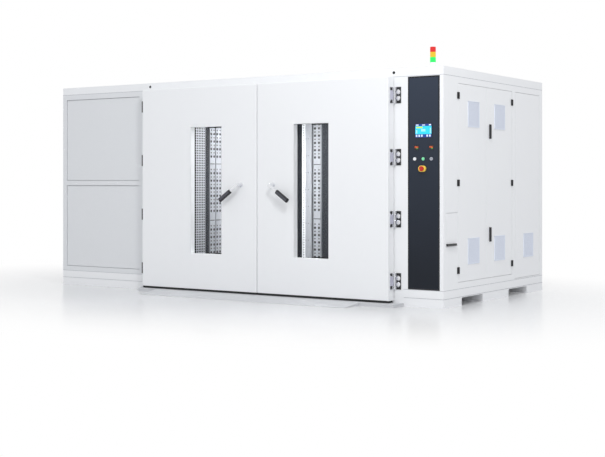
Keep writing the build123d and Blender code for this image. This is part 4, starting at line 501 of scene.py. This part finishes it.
NODE_FINISHES = {
    "body_paint": "base_frame floor_slab rear_wall side_walls ceiling_slab roof_tray door_frame machine_cabinet "
                  "side_rear_panel side_door_front side_door_rear side_flap left_door_leaf right_door_leaf",
    "left_paint": "left_cabinet_frame left_cabinet_panels",
    "ramp_paint": "sill_plate entry_ramp",
    "dark_lining": "inner_liner air_partition",
    "stainless": "air_panels rack_uprights heater_bank fan_deck left_upper_bolt left_lower_bolt right_upper_bolt "
                 "right_lower_bolt",
    "polished_chrome": "frame_hinges left_door_hinges right_door_hinges left_handle right_handle",
    "black_metal": "side_hinges side_handle_lower side_handle_upper condenser_fan",
    "gasket_rubber": "left_door_gasket right_door_gasket",
    "grip_plastic": "left_handle_grip right_handle_grip",
    "door_glass": "left_door_glass right_door_glass",
    "slate_panel": "control_panel",
    "device_black": "touch_screen limit_controllers",
    "bezel_metal": "button_bezels",
    "white_plastic": "tower_base button_white",
    "green_plastic": "button_green",
    "grey_plastic": "button_grey",
    "red_plastic": "estop_button",
    "yellow_plastic": "estop_guard",
    "mill_aluminium": "evaporator condenser circulation_fan",
    "machine_black": "compressors",
    "lens_green": "tower_green",
    "lens_yellow": "tower_yellow",
    "lens_red": "tower_red",
}


class CHAMBER_OT_coat_nodes(bpy.types.Operator):
    """Give every CAD node its finish."""
    bl_idname = "chamber.coat_nodes"
    bl_label = "Finishes of the frame"

    def execute(self, context):
        for name, members in NODE_FINISHES.items():
            for target in (nodes[node] for node in members.split()):
                if not target.material_slots:
                    target.data.materials.append(finish(name))
                for slot in target.material_slots:
                    slot.material = finish(name)
        return {"FINISHED"}


# The room's linings
SHEET = 0.002  # thickness of a folded sheet
LEFT_CENTRES, LEFT_WIDTH, LEFT_REACH = (-0.068, 0.048), 0.1, 0.018  # uprights on the left wall
REAR_CENTRES, REAR_WIDTH, REAR_REACH = (-0.402, 0.498, 1.398), 0.106, 0.03  # uprights on the rear wall
DUCT_OFFSET, DUCT_HALF = -0.128, 0.043  # smooth duct beside a rear upright
STRIP_OFFSET, STRIP_HALF = -0.197, 0.025  # slotted strip beyond the duct


class CHAMBER_OT_air_panels(bpy.types.Operator):
    """Perforated panels on the inner left wall, through which the air comes back."""
    bl_idname = "chamber.air_panels"
    bl_label = "Perforated air panels"

    def execute(self, context):
        low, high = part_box("air_panels")
        size, half, edge, inset, gap = context.scene.chamber_sizes, 0.13, 0.01, 0.003, 0.0002
        middle, tall = (low.x + high.x) / 2, high.z - low.z
        whole, shade_backs = bmesh.new(), bmesh.new()
        for centre in (low.y + half, high.y - half):
            sheet = grown(perforated_sheet(), "stainless", Width=2 * half, Height=tall,
                          Columns=int((2 * half - edge) / size.air_pitch_y),
                          Rows=int((tall - 2 * edge) / size.air_pitch_z), Pitch_X=size.air_pitch_y,
                          Pitch_Y=size.air_pitch_z, Hole=size.air_hole, Sides=6, Thickness=(high.x - low.x) / 2)
            # a black box behind each sheet: painted shade seen through the air holes
            add_box(shade_backs, (low.x, centre - half + inset, low.z + inset),
                    (middle - gap, centre + half - inset, high.z - inset))
            stand(whole, sheet, (middle, centre, (low.z + high.z) / 2), (0, 1, 0))
        piece("perforated_air_panels", whole, "stainless", replaces=("air_panels",))
        piece("air_panel_meshes", shade_backs, "gasket_rubber")
        return {"FINISHED"}


def holed_upright(whole, size, middle, across, out, width, depth, low, high):
    """Adds one channel upright to a bmesh: a holed face in three lengths, and its two flanges."""
    seam, columns_share = 0.004, 0.56
    across, out = Vector(across), Vector(out)
    joints = (size.joint_level - size.joint_step, size.joint_level)
    for start, stop in ((low, joints[0] - seam), (joints[0] + seam, joints[1] - seam), (joints[1] + seam, high)):
        face = grown(perforated_sheet(), "stainless", Width=width, Height=stop - start, Columns=2,
                     Rows=int((stop - start - 2 * size.joint_plain) / size.slot_pitch),
                     Pitch_X=width * columns_share, Pitch_Y=size.slot_pitch, Hole=size.slot_hole,
                     Small_hole=size.small_hole, Sides=12, Thickness=SHEET)
        stand(whole, face, Vector((*middle, (start + stop) / 2)) + out * (depth - SHEET), across)
    for side in (-1, 1):
        edge = Vector((*middle, 0)) + across * side * (width / 2 - SHEET / 2)
        near = edge + across * SHEET / 2
        far = edge - across * SHEET / 2 + out * (depth - SHEET)
        add_box(whole, (min(near.x, far.x), min(near.y, far.y), low), (max(near.x, far.x), max(near.y, far.y), high))


class CHAMBER_OT_uprights(bpy.types.Operator):
    """Holed rack uprights on the left and rear walls, with the smooth duct and the slotted strip beside them."""
    bl_idname = "chamber.uprights"
    bl_label = "Rack uprights"

    def execute(self, context):
        low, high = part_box("rack_uprights")
        size, front, behind = context.scene.chamber_sizes, high.y - REAR_REACH, 0.006
        # black backs inside the uprights and behind the slotted strips: painted shade seen through their holes
        left_half, rear_half, inset = 0.047, 0.050, 0.001  # of the dark backs
        bottom, top, tall = low.z + inset, high.z - inset, high.z - low.z
        whole, shade_backs, strips, rivets = bmesh.new(), bmesh.new(), bmesh.new(), []
        for y in LEFT_CENTRES:
            holed_upright(whole, size, (low.x, y), (0, 1, 0), (1, 0, 0), LEFT_WIDTH, LEFT_REACH, low.z, high.z)
            add_box(shade_backs, (low.x, y - left_half, bottom), (low.x + LEFT_REACH - behind, y + left_half, top))
        for x in REAR_CENTRES:
            holed_upright(whole, size, (x, high.y), (1, 0, 0), FRONTWARD, REAR_WIDTH, REAR_REACH, low.z, high.z)
            add_box(shade_backs, (x - rear_half, front + behind, bottom), (x + rear_half, high.y, top))
            duct, strip = x + DUCT_OFFSET, x + STRIP_OFFSET
            add_box(whole, (duct - DUCT_HALF, front, low.z), (duct + DUCT_HALF, high.y, high.z), 0.002)
            rivets += [(duct + side * 0.036, front - 0.0005, low.z + 0.1 + 0.21 * row)
                       for row in range(10) for side in (-1, 0)]
            slotted = grown(perforated_sheet(), "stainless", Width=2 * STRIP_HALF, Height=tall, Columns=1,
                            Rows=int((tall - 0.03) / size.air_pitch_y), Pitch_X=0.03, Pitch_Y=size.air_pitch_y,
                            Hole=size.air_hole * 0.75, Sides=6, Thickness=SHEET)
            stand(strips, slotted, (strip, front + SHEET, (low.z + high.z) / 2), (1, 0, 0))
            add_box(shade_backs, (strip - STRIP_HALF, front + 2 * SHEET, bottom), (strip + STRIP_HALF, high.y, top))
        heads = grown(fastener_heads(), "machine_black", rivets, Radius=0.0045, Height=0.0022, Sides=10,
                      Facing=tuple(FRONTWARD))
        piece("slotted_strips", strips, "body_paint")
        piece("plate_rivets", heads, "machine_black")
        piece("upright_backs", shade_backs, "gasket_rubber")
        piece("holed_uprights", whole, "stainless", replaces=("rack_uprights",))
        return {"FINISHED"}


# The control panel
DISPLAY_RECESS = 0.001  # of a display behind its bezel, as in the CAD
GLOW = 0.0003  # by which lit contents stand before their display
# Contents of the touch screen: piece, finish, whether it lies over the fields, and its areas as shares of the screen
SCREEN_PARTS = (
    ("screen_field", "screen_cyan", False, [(0.0, 0.24, 1.0, 0.84)]),
    ("screen_bars", "screen_blue", False, [(0.0, 0.0, 1.0, 0.24), (0.0, 0.84, 1.0, 1.0)]),
    ("screen_keys", "screen_white", True,
     [(0.03 + 0.165 * step, 0.05, 0.12 + 0.165 * step, 0.2) for step in (0, 1, 2, 4, 5)]
     + [(0.03, 0.88, 0.2, 0.96), (0.42, 0.88, 0.6, 0.95), (0.84, 0.88, 0.97, 0.97)]),
    ("screen_reading", "screen_yellow", True, [(0.05, 0.68, 0.45, 0.8)]),
    ("screen_tiles", "screen_pale", True, [(0.36, 0.44, 0.62, 0.62), (0.03, 0.3, 0.12, 0.55), (0.9, 0.3, 0.98, 0.7)]),
)
GLYPHS = {"0": "abcdef", "1": "bc", "5": "afgcd", "6": "afgedc"}  # lit bars of seven-segment digits


class CHAMBER_OT_panel_border(bpy.types.Operator):
    """Black edge trim round the control panel."""
    bl_idname = "chamber.panel_border"
    bl_label = "Control panel trim"

    def execute(self, context):
        low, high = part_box("control_panel")
        wide, proud, inset = 0.014, 0.0004, 0.001
        trim = bmesh.new()
        for x0, x1, z0, z1 in border_bars(low.x + inset, high.x - inset, low.z + inset, high.z - inset, wide, wide):
            add_box(trim, (x0, low.y - proud, z0), (x1, low.y, z1))
        piece("panel_trim", trim, "panel_border")
        return {"FINISHED"}


class CHAMBER_OT_touch_screen(bpy.types.Operator):
    """Display of the touch screen: header, footer keys, a reading field and three value tiles."""
    bl_idname = "chamber.touch_screen"
    bl_label = "Touch screen display"

    def execute(self, context):
        low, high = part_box("touch_screen")
        border, step = 0.007, 0.0001
        x0, z0, face = low.x + border, low.z + border, low.y + DISPLAY_RECESS
        wide, tall = high.x - border - x0, high.z - border - z0
        for name, look, over, areas in SCREEN_PARTS:
            front, back = (face - GLOW, face - step) if over else (face - step, face + 4 * step)
            shape = bmesh.new()
            for a, b, c, d in areas:
                add_box(shape, (x0 + a * wide, front, z0 + b * tall), (x0 + c * wide, back, z0 + d * tall))
            piece(name, shape, look)
        return {"FINISHED"}


def add_digit(bm, glyph, x, z, width, back):
    """Adds one seven-segment digit as small boxes; x and z are its lower left corner."""
    thick, tall = width * 0.22, width * 1.8
    half = tall / 2
    bars = {
        "a": (0, tall - thick, width, tall), "d": (0, 0, width, thick),
        "g": (0, half - thick / 2, width, half + thick / 2),
        "f": (0, half, thick, tall), "e": (0, 0, thick, half),
        "b": (width - thick, half, width, tall), "c": (width - thick, 0, width, half)}
    for bar in GLYPHS[glyph]:
        x0, z0, x1, z1 = bars[bar]
        add_box(bm, (x + x0, back - GLOW, z + z0), (x + x1, back, z + z1))


class CHAMBER_OT_controllers(bpy.types.Operator):
    """Readings of the two limit controllers: three orange digits over two green ones."""
    bl_idname = "chamber.controllers"
    bl_label = "Limit controller readings"

    def execute(self, context):
        low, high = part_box("limit_controllers")
        wide, face = 0.048, low.y + DISPLAY_RECESS
        orange, green = bmesh.new(), bmesh.new()
        for left in (low.x, high.x - wide):
            for step, glyph in enumerate("150"):
                add_digit(orange, glyph, left - 0.003 + 0.0165 * step, high.z - 0.0275, 0.0135, face)
            for step, glyph in enumerate("60"):
                add_digit(green, glyph, left + 0.026 + 0.0105 * step, low.z + 0.003, 0.0085, face)
        piece("upper_readings", orange, "digits_orange")
        piece("lower_readings", green, "digits_green")
        return {"FINISHED"}


class CHAMBER_OT_panel_rings(bpy.types.Operator):
    """Coloured collars of the three buttons, and the oblong guard and the cap of the emergency stop."""
    bl_idname = "chamber.panel_rings"
    bl_label = "Button collars and stop guard"

    def execute(self, context):
        front, inner, outer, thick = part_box("control_panel")[0].y + 0.001, 0.0098, 0.0160, 0.0075
        for node, look, sides in (("button_white", "white_plastic", 24), ("button_green", "pale_green", 8),
                                  ("button_grey", "pale_grey", 24)):
            low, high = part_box(node)
            collar = bmesh.new()
            add_ring(collar, ((low.x + high.x) / 2, front, (low.z + high.z) / 2), inner, outer, thick, sides)
            piece(node + "_collar", collar, look)
        low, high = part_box("estop_guard")
        button_low, button_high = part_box("estop_button")
        x, z = (button_low.x + button_high.x) / 2, (button_low.z + button_high.z) / 2
        guard, cap = bmesh.new(), bmesh.new()
        add_ring(guard, (x, high.y, z), 0.0215, (high.z - low.z) * 0.46, (high.y - low.y) * 0.7, 40, 0.009)
        add_tube(cap, (x, button_low.y, z), FRONTWARD, 0.0245, 0.006, 32, 0.003)
        piece("stop_cap", cap, "red_plastic", "estop_button")
        piece("stop_guard", guard, "yellow_plastic", replaces=("estop_guard",))
        return {"FINISHED"}


# The cabinet's outside
ROOF_SEAM = 2.218
SEAM_LEVELS = (0.084, 0.164, ROOF_SEAM)
VENTS = (  # body, piece, and the y and z of its vents
    ("side_door_front", "front_louvres", ((-0.549, 0.519), (-0.549, 1.868))),
    ("side_door_rear", "rear_louvres", ((0.065, 0.519), (0.065, 1.868))),
    ("cabinet", "panel_louvres", ((0.805, 0.519),)),
)


class CHAMBER_OT_lifting_plugs(bpy.types.Operator):
    """Black plugs in the two lifting holes of the roof tray."""
    bl_idname = "chamber.lifting_plugs"
    bl_label = "Lifting hole plugs"

    def execute(self, context):
        seat, level, radius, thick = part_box("roof_tray")[0].y + 0.002, 2.259, 0.0145, 0.0028
        plugs = bmesh.new()
        for x in (-1.149, 1.962):
            add_tube(plugs, (x, seat, level), FRONTWARD, radius, thick, 20)
        piece("lifting_plugs", plugs, "gasket_rubber")
        return {"FINISHED"}


class CHAMBER_OT_vent_louvres(bpy.types.Operator):
    """Fine louvre inserts over the vents of the side doors and the rear side panel."""
    bl_idname = "chamber.vent_louvres"
    bl_label = "Vent louvres"

    def execute(self, context):
        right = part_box("machine_cabinet")[1].x
        half, rim, slats = 0.128, 0.005, 18
        back, pad, middle, proud = right - 0.001, right + 0.0018, right + 0.0036, right + 0.005
        pitch = (2 * half - 2 * rim) / slats
        for body, name, centres in VENTS:
            whole = bmesh.new()
            for y, z in centres:
                add_box(whole, (back, y - half, z - half), (pad, y + half, z + half))
                for y0, y1, z0, z1 in border_bars(-half, half, -half, half, rim):
                    add_box(whole, (pad, y + y0, z + z0), (proud, y + y1, z + z1))
                rows = grown(tilted_slats(), "filter_pad", Width=2 * (half - rim), Slats=slats, Pitch=pitch,
                             Depth=pitch * 0.72, Thickness=0.001, Tilt=0.28)
                stand(whole, rows, (middle, y, z), (0, 1, 0))
            piece(name, whole, "filter_pad", body)
        return {"FINISHED"}


class CHAMBER_OT_seams(bpy.types.Operator):
    """Thin seams between the plinth, the walls and the roof tray, on the front and the right side, as grey strips of
    painted shade.
    """
    bl_idname = "chamber.seams"
    bl_label = "Body seams"

    def execute(self, context):
        low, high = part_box("machine_cabinet")
        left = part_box("left_cabinet_frame")[0].x
        opening = [corner.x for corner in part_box("door_frame")]
        half, proud = 0.00175, 0.0004
        strips = bmesh.new()
        for level in SEAM_LEVELS:
            for x0, x1 in ((left, opening[0]), (opening[1], high.x)):
                add_box(strips, (x0, low.y - proud, level - half), (x1, low.y, level + half))
            add_box(strips, (high.x, low.y, level - half), (high.x + proud, high.y, level + half))
        add_box(strips, (opening[0], low.y - proud, ROOF_SEAM - half), (opening[1], low.y, ROOF_SEAM + half))
        piece("body_seams", strips, "seam_sealant")
        return {"FINISHED"}


# The doors' fittings
SIDES = (("left", -1), ("right", 1))
HINGE_FRONT = -1.195  # front face of the main hinges' frame plates
HINGE_LEVELS = [0.238 + (2.0400 - 0.238) / 3 * row for row in range(4)]
SIDE_HINGE_LEVELS = (0.343, 1.190, 2.036)


class CHAMBER_OT_door_rubbers(bpy.types.Operator):
    """Black glazing strips along the top and bottom of the inner panes, and a sweep under each door leaf."""
    bl_idname = "chamber.door_rubbers"
    bl_label = "Door rubbers"

    def execute(self, context):
        tall, gap, thick, start_share = 0.022, 0.0003, 0.001, 0.38
        for side, _ in SIDES:
            low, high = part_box(side + "_door_glass")
            start, inner = low.x + start_share * (high.x - low.x), high.y + gap
            strips = bmesh.new()
            for z0, z1 in ((low.z, low.z + tall), (high.z - tall, high.z)):
                add_box(strips, (start, inner, z0), (high.x, inner + thick, z1))
            piece(side + "_glazing_strips", strips, "gasket_rubber", side + "_door")
        inset, deep, drop, lap = 0.004, 0.085, 0.019, 0.001
        for side, _ in SIDES:
            low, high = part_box(side + "_door_leaf")
            sweep = bmesh.new()
            add_box(sweep, (low.x + inset, low.y + inset, low.z - drop), (high.x - inset, low.y + deep, low.z + lap))
            piece(side + "_door_sweep", sweep, "gasket_rubber", side + "_door")
        return {"FINISHED"}


class CHAMBER_OT_hinge_fittings(bpy.types.Operator):
    """Dark plates with domed caps on the frame side of the main hinges, and black discs for the screw wells on the door
    side, painted as the shade in the wells.
    """
    bl_idname = "chamber.hinge_fittings"
    bl_label = "Hinge fittings"

    def execute(self, context):
        low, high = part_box("frame_hinges")
        front, seat, half = HINGE_FRONT - 0.0058, HINGE_FRONT + 0.0005, 0.079
        plates, domes = bmesh.new(), []
        for edge, toward in ((low.x, 1), (high.x, -1)):
            x0, x1 = sorted((edge - toward * 0.0003, edge + toward * 0.0525))
            for level in HINGE_LEVELS:
                add_box(plates, (x0, front, level - half), (x1, seat, level + half), 0.002)
                domes += [(edge + toward * 0.0275, front - 0.004, level + drop) for drop in (-0.029, 0.029)]
        for level in HINGE_LEVELS:
            add_box(plates, (low.x - 0.034, HINGE_FRONT - 0.003, level - 0.062), (low.x + 0.002, seat, level + 0.062),
                    0.001)
        piece("hinge_plates", plates, "black_metal")
        caps = grown(fastener_heads(), "polished_chrome", domes, Radius=0.0235, Height=0.008, Sides=24,
                     Facing=tuple(FRONTWARD))
        piece("hinge_caps", caps, "polished_chrome")
        for side, sign in SIDES:
            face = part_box(side + "_door_leaf")[sign > 0].x + sign * 0.005
            # black discs at the screw wells of the door-side leaves: painted shade in the wells
            wells = [(face + sign * 0.0010, -1.252, level + drop) for level in HINGE_LEVELS for drop in (-0.060, 0.060)]
            spots = grown(fastener_heads(), "black_metal", wells, Radius=0.015, Height=0.0012, Sides=16,
                          Facing=(float(sign), 0.0, 0.0))
            piece(side + "_hinge_screws", spots, "black_metal", side + "_door")
            covers = bmesh.new()
            x0, x1 = sorted((face - sign * 0.0005, face + sign * 0.0009))
            for level in HINGE_LEVELS:
                add_box(covers, (x0, -1.279, level - 0.044), (x1, -1.222, level + 0.044))
            piece(side + "_hinge_leaves", covers, "hinge_plate", side + "_door")
        return {"FINISHED"}


class CHAMBER_OT_side_fittings(bpy.types.Operator):
    """Black leaves over the door side of the small hinges, and the plate and black pull of the flap."""
    bl_idname = "chamber.side_fittings"
    bl_label = "Side door fittings"

    def execute(self, context):
        right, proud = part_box("machine_cabinet")[1].x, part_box("side_flap")[1].x
        skin, half, wide, radius = right + 0.0002, 0.0318, 0.0255, 0.0068
        for body, axis_y, toward in (("side_door_front", -0.8865, 1), ("side_door_rear", 0.3765, -1)):
            covers = bmesh.new()
            y0, y1 = sorted((axis_y, axis_y + toward * wide))
            for level in SIDE_HINGE_LEVELS:
                add_box(covers, (skin, y0, level - half), (right + 0.0056, y1, level + half))
                add_tube(covers, (right + 0.0063, axis_y, level - half), UP, radius, 2 * half, 16)
            piece(body + "_hinge_covers", covers, "black_metal", body)
        # The flap without the CAD's pull: a merged copy of its mesh, cut off at the skin and closed there
        plate = bmesh.new()
        plate.from_mesh(nodes["side_flap"].data)
        bmesh.ops.remove_doubles(plate, verts=plate.verts, dist=0.00001)
        outer = [face for face in plate.faces if face.calc_center_median().x > skin]
        bmesh.ops.delete(plate, geom=outer, context="FACES")
        bmesh.ops.holes_fill(plate, edges=plate.edges, sides=0)
        bmesh.ops.recalc_face_normals(plate, faces=plate.faces)
        piece("flap_plate", plate, "body_paint", "side_flap", ("side_flap",))
        pull = bmesh.new()
        add_box(pull, (right - 0.0005, -1.140, 0.589), (proud, -0.950, 0.609), 0.003)
        piece("flap_pull", pull, "black_metal", "side_flap")
        return {"FINISHED"}


class CHAMBER_OT_grips(bpy.types.Operator):
    """Flat moulded grips of the door handles, with a front face painted lighter than the rest: painted light on the lit
    front.
    """
    bl_idname = "chamber.grips"
    bl_label = "Handle grips"

    def execute(self, context):
        slant, long, wide = radians(35.0), 0.176, 0.046
        for side, sign in SIDES:
            low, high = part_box(side + "_handle_grip")
            deep = high.y - low.y
            along = Vector((sign * cos(slant), 0.0, -sin(slant)))
            up = Vector((sign * sin(slant), 0.0, cos(slant)))
            for look, name, size, shift, bevel, replaces in (
                    ("grip_plastic", "grip", (long, wide, deep - 0.002), 0.0, 0.011, (side + "_handle_grip",)),
                    ("grip_face", "grip_face", (long - 0.03, wide - 0.02, 0.0012), deep / 2 - 0.0008, 0.0004, ())):
                bar = bmesh.new()
                add_box(bar, [-value / 2 for value in size], [value / 2 for value in size], bevel)
                turn = Matrix((along, up, FRONTWARD)).transposed().to_4x4()
                turn.translation = (low + high) / 2 + FRONTWARD * shift
                bmesh.ops.transform(bar, matrix=turn, verts=bar.verts)
                bmesh.ops.recalc_face_normals(bar, faces=bar.faces)
                piece(side + "_" + name, bar, look, side + "_handle", replaces)
        return {"FINISHED"}


# Stage
WHITE = (1.0, 1.0, 1.0, 1.0)
LAMPS = (  # name, place, aim, width, watts
    ("key_lamp", (4.1, -4.6, 5.6), (0.6, -1.2, 1.9), 1.0, 150.0),
    ("room_lamp", (0.4, 0.0, 2.1), (0.4, 0.0, 0.0), 1.4, 120.0),
)


def mixed(tree, output, share, first, second):
    """Mixes two shaders by a share and feeds a tree's output."""
    mix = added(tree, "ShaderNodeMixShader", share, first.outputs[0], second.outputs[0])
    feed(tree, tree.nodes[output].inputs["Surface"], mix.outputs["Shader"])


class CHAMBER_OT_stage(bpy.types.Operator):
    """Floor, lamps, background and the camera of the photograph's view."""
    bl_idname = "chamber.stage"
    bl_label = "Stage and camera"

    def execute(self, context):
        scene = context.scene
        scene.view_settings.view_transform = "Standard"
        self.lay_floor()
        self.light_world(scene)
        self.hang_lamps()
        data = bpy.data.cameras.new("photo_camera")
        data.lens, data.sensor_width, data.shift_y, data.clip_end = 71.0, 36.0, -0.0767, 200.0
        camera = placed("photo_camera", data)
        camera.location = (7.670, -11.304, 1.198)
        camera.rotation_euler = (pi / 2, 0.0, radians(33.83))
        scene.camera = camera
        return {"FINISHED"}

    def lay_floor(self):
        """A pale floor that turns to plain white away from the chamber, for the camera and through glass."""
        bm = bmesh.new()
        add_box(bm, (-40, -40, -0.02), (40, 40, 0.0))
        mesh = bpy.data.meshes.new("floor")
        bm.to_mesh(mesh)
        bm.free()
        floor = placed("floor", mesh)
        material, shader = principled("floor_white", (0.70, 0.705, 0.715), 0.2)
        tree = material.node_tree
        away = added(tree, "ShaderNodeVectorMath",
                     object_vector(tree, Location=(0.0, 0.35, 0.0), Scale=(0.42, 0.62, 1.0)))
        away.operation = "LENGTH"
        fade = added(tree, "ShaderNodeMapRange", Value=away.outputs["Value"], From_Min=0.9, From_Max=2.6)
        fade.interpolation_type = "SMOOTHSTEP"
        rays = tree.nodes.new("ShaderNodeLightPath").outputs
        seen = maths(tree, "MAXIMUM", rays["Is Camera Ray"], rays["Is Transmission Ray"])
        share = maths(tree, "MULTIPLY", fade.outputs["Result"], seen)
        mixed(tree, "Material Output", share, shader, added(tree, "ShaderNodeEmission", Color=WHITE))
        mesh.materials.append(material)

    def light_world(self, scene):
        """Even light on the chamber, and a white background for the camera, metal and glass."""
        world = bpy.data.worlds.new("studio")
        world.use_nodes = True
        scene.world = world
        tree = world.node_tree
        ambient = tree.nodes["Background"]
        ambient.inputs["Color"].default_value = (0.97, 0.98, 1.0, 1.0)
        ambient.inputs["Strength"].default_value = 0.92
        white = added(tree, "ShaderNodeBackground", Color=WHITE, Strength=1.0)
        rays = tree.nodes.new("ShaderNodeLightPath").outputs
        seen = maths(tree, "ADD", rays["Is Camera Ray"], rays["Is Glossy Ray"], clamp=True)
        also = maths(tree, "ADD", seen, rays["Is Transmission Ray"], clamp=True)
        mixed(tree, "World Output", also, ambient, white)

    def hang_lamps(self):
        """The key lamp before the chamber, and one in the test room."""
        for name, place, aim, width, watts in LAMPS:
            data = bpy.data.lights.new(name, "AREA")
            data.energy, data.size = watts, width
            lamp = placed(name, data)
            lamp.location = place
            lamp.rotation_euler = (Vector(aim) - Vector(place)).to_track_quat("-Z", "Y").to_euler()


STEPS = (
    CHAMBER_OT_coat_nodes, CHAMBER_OT_air_panels, CHAMBER_OT_uprights, CHAMBER_OT_panel_border,
    CHAMBER_OT_touch_screen, CHAMBER_OT_controllers, CHAMBER_OT_panel_rings, CHAMBER_OT_lifting_plugs,
    CHAMBER_OT_vent_louvres, CHAMBER_OT_seams, CHAMBER_OT_door_rubbers, CHAMBER_OT_hinge_fittings,
    CHAMBER_OT_side_fittings, CHAMBER_OT_grips, CHAMBER_OT_stage)


class CHAMBER_PT_steps(bpy.types.Panel):
    """The steps that dress the chamber, in the 3D view's sidebar."""
    bl_idname = "CHAMBER_PT_steps"
    bl_label = "Test chamber"
    bl_space_type = "VIEW_3D"
    bl_region_type = "UI"
    bl_category = "Chamber"

    def draw(self, context):
        layout = self.layout
        for step in STEPS:
            layout.operator(step.bl_idname)
        for group in (context.scene.chamber_sizes, context.scene.chamber_colours):
            box = layout.box()
            for key in group.__annotations__:
                box.prop(group, key)


CLASSES = (ChamberColours, ChamberSizes, *STEPS, CHAMBER_PT_steps)


def register():
    """Registers the classes and the scene's settings."""
    for kind in CLASSES:
        bpy.utils.register_class(kind)
    bpy.types.Scene.chamber_colours = bpy.props.PointerProperty(type=ChamberColours)
    bpy.types.Scene.chamber_sizes = bpy.props.PointerProperty(type=ChamberSizes)


def unregister():
    """Removes the scene's settings and the classes."""
    del bpy.types.Scene.chamber_sizes
    del bpy.types.Scene.chamber_colours
    for kind in reversed(CLASSES):
        bpy.utils.unregister_class(kind)


def main():
    """Dresses the chamber step by step."""
    register()
    for step in STEPS:
        group, call = step.bl_idname.split(".")
        getattr(getattr(bpy.ops, group), call)()


if __name__ == "__main__":
    main()
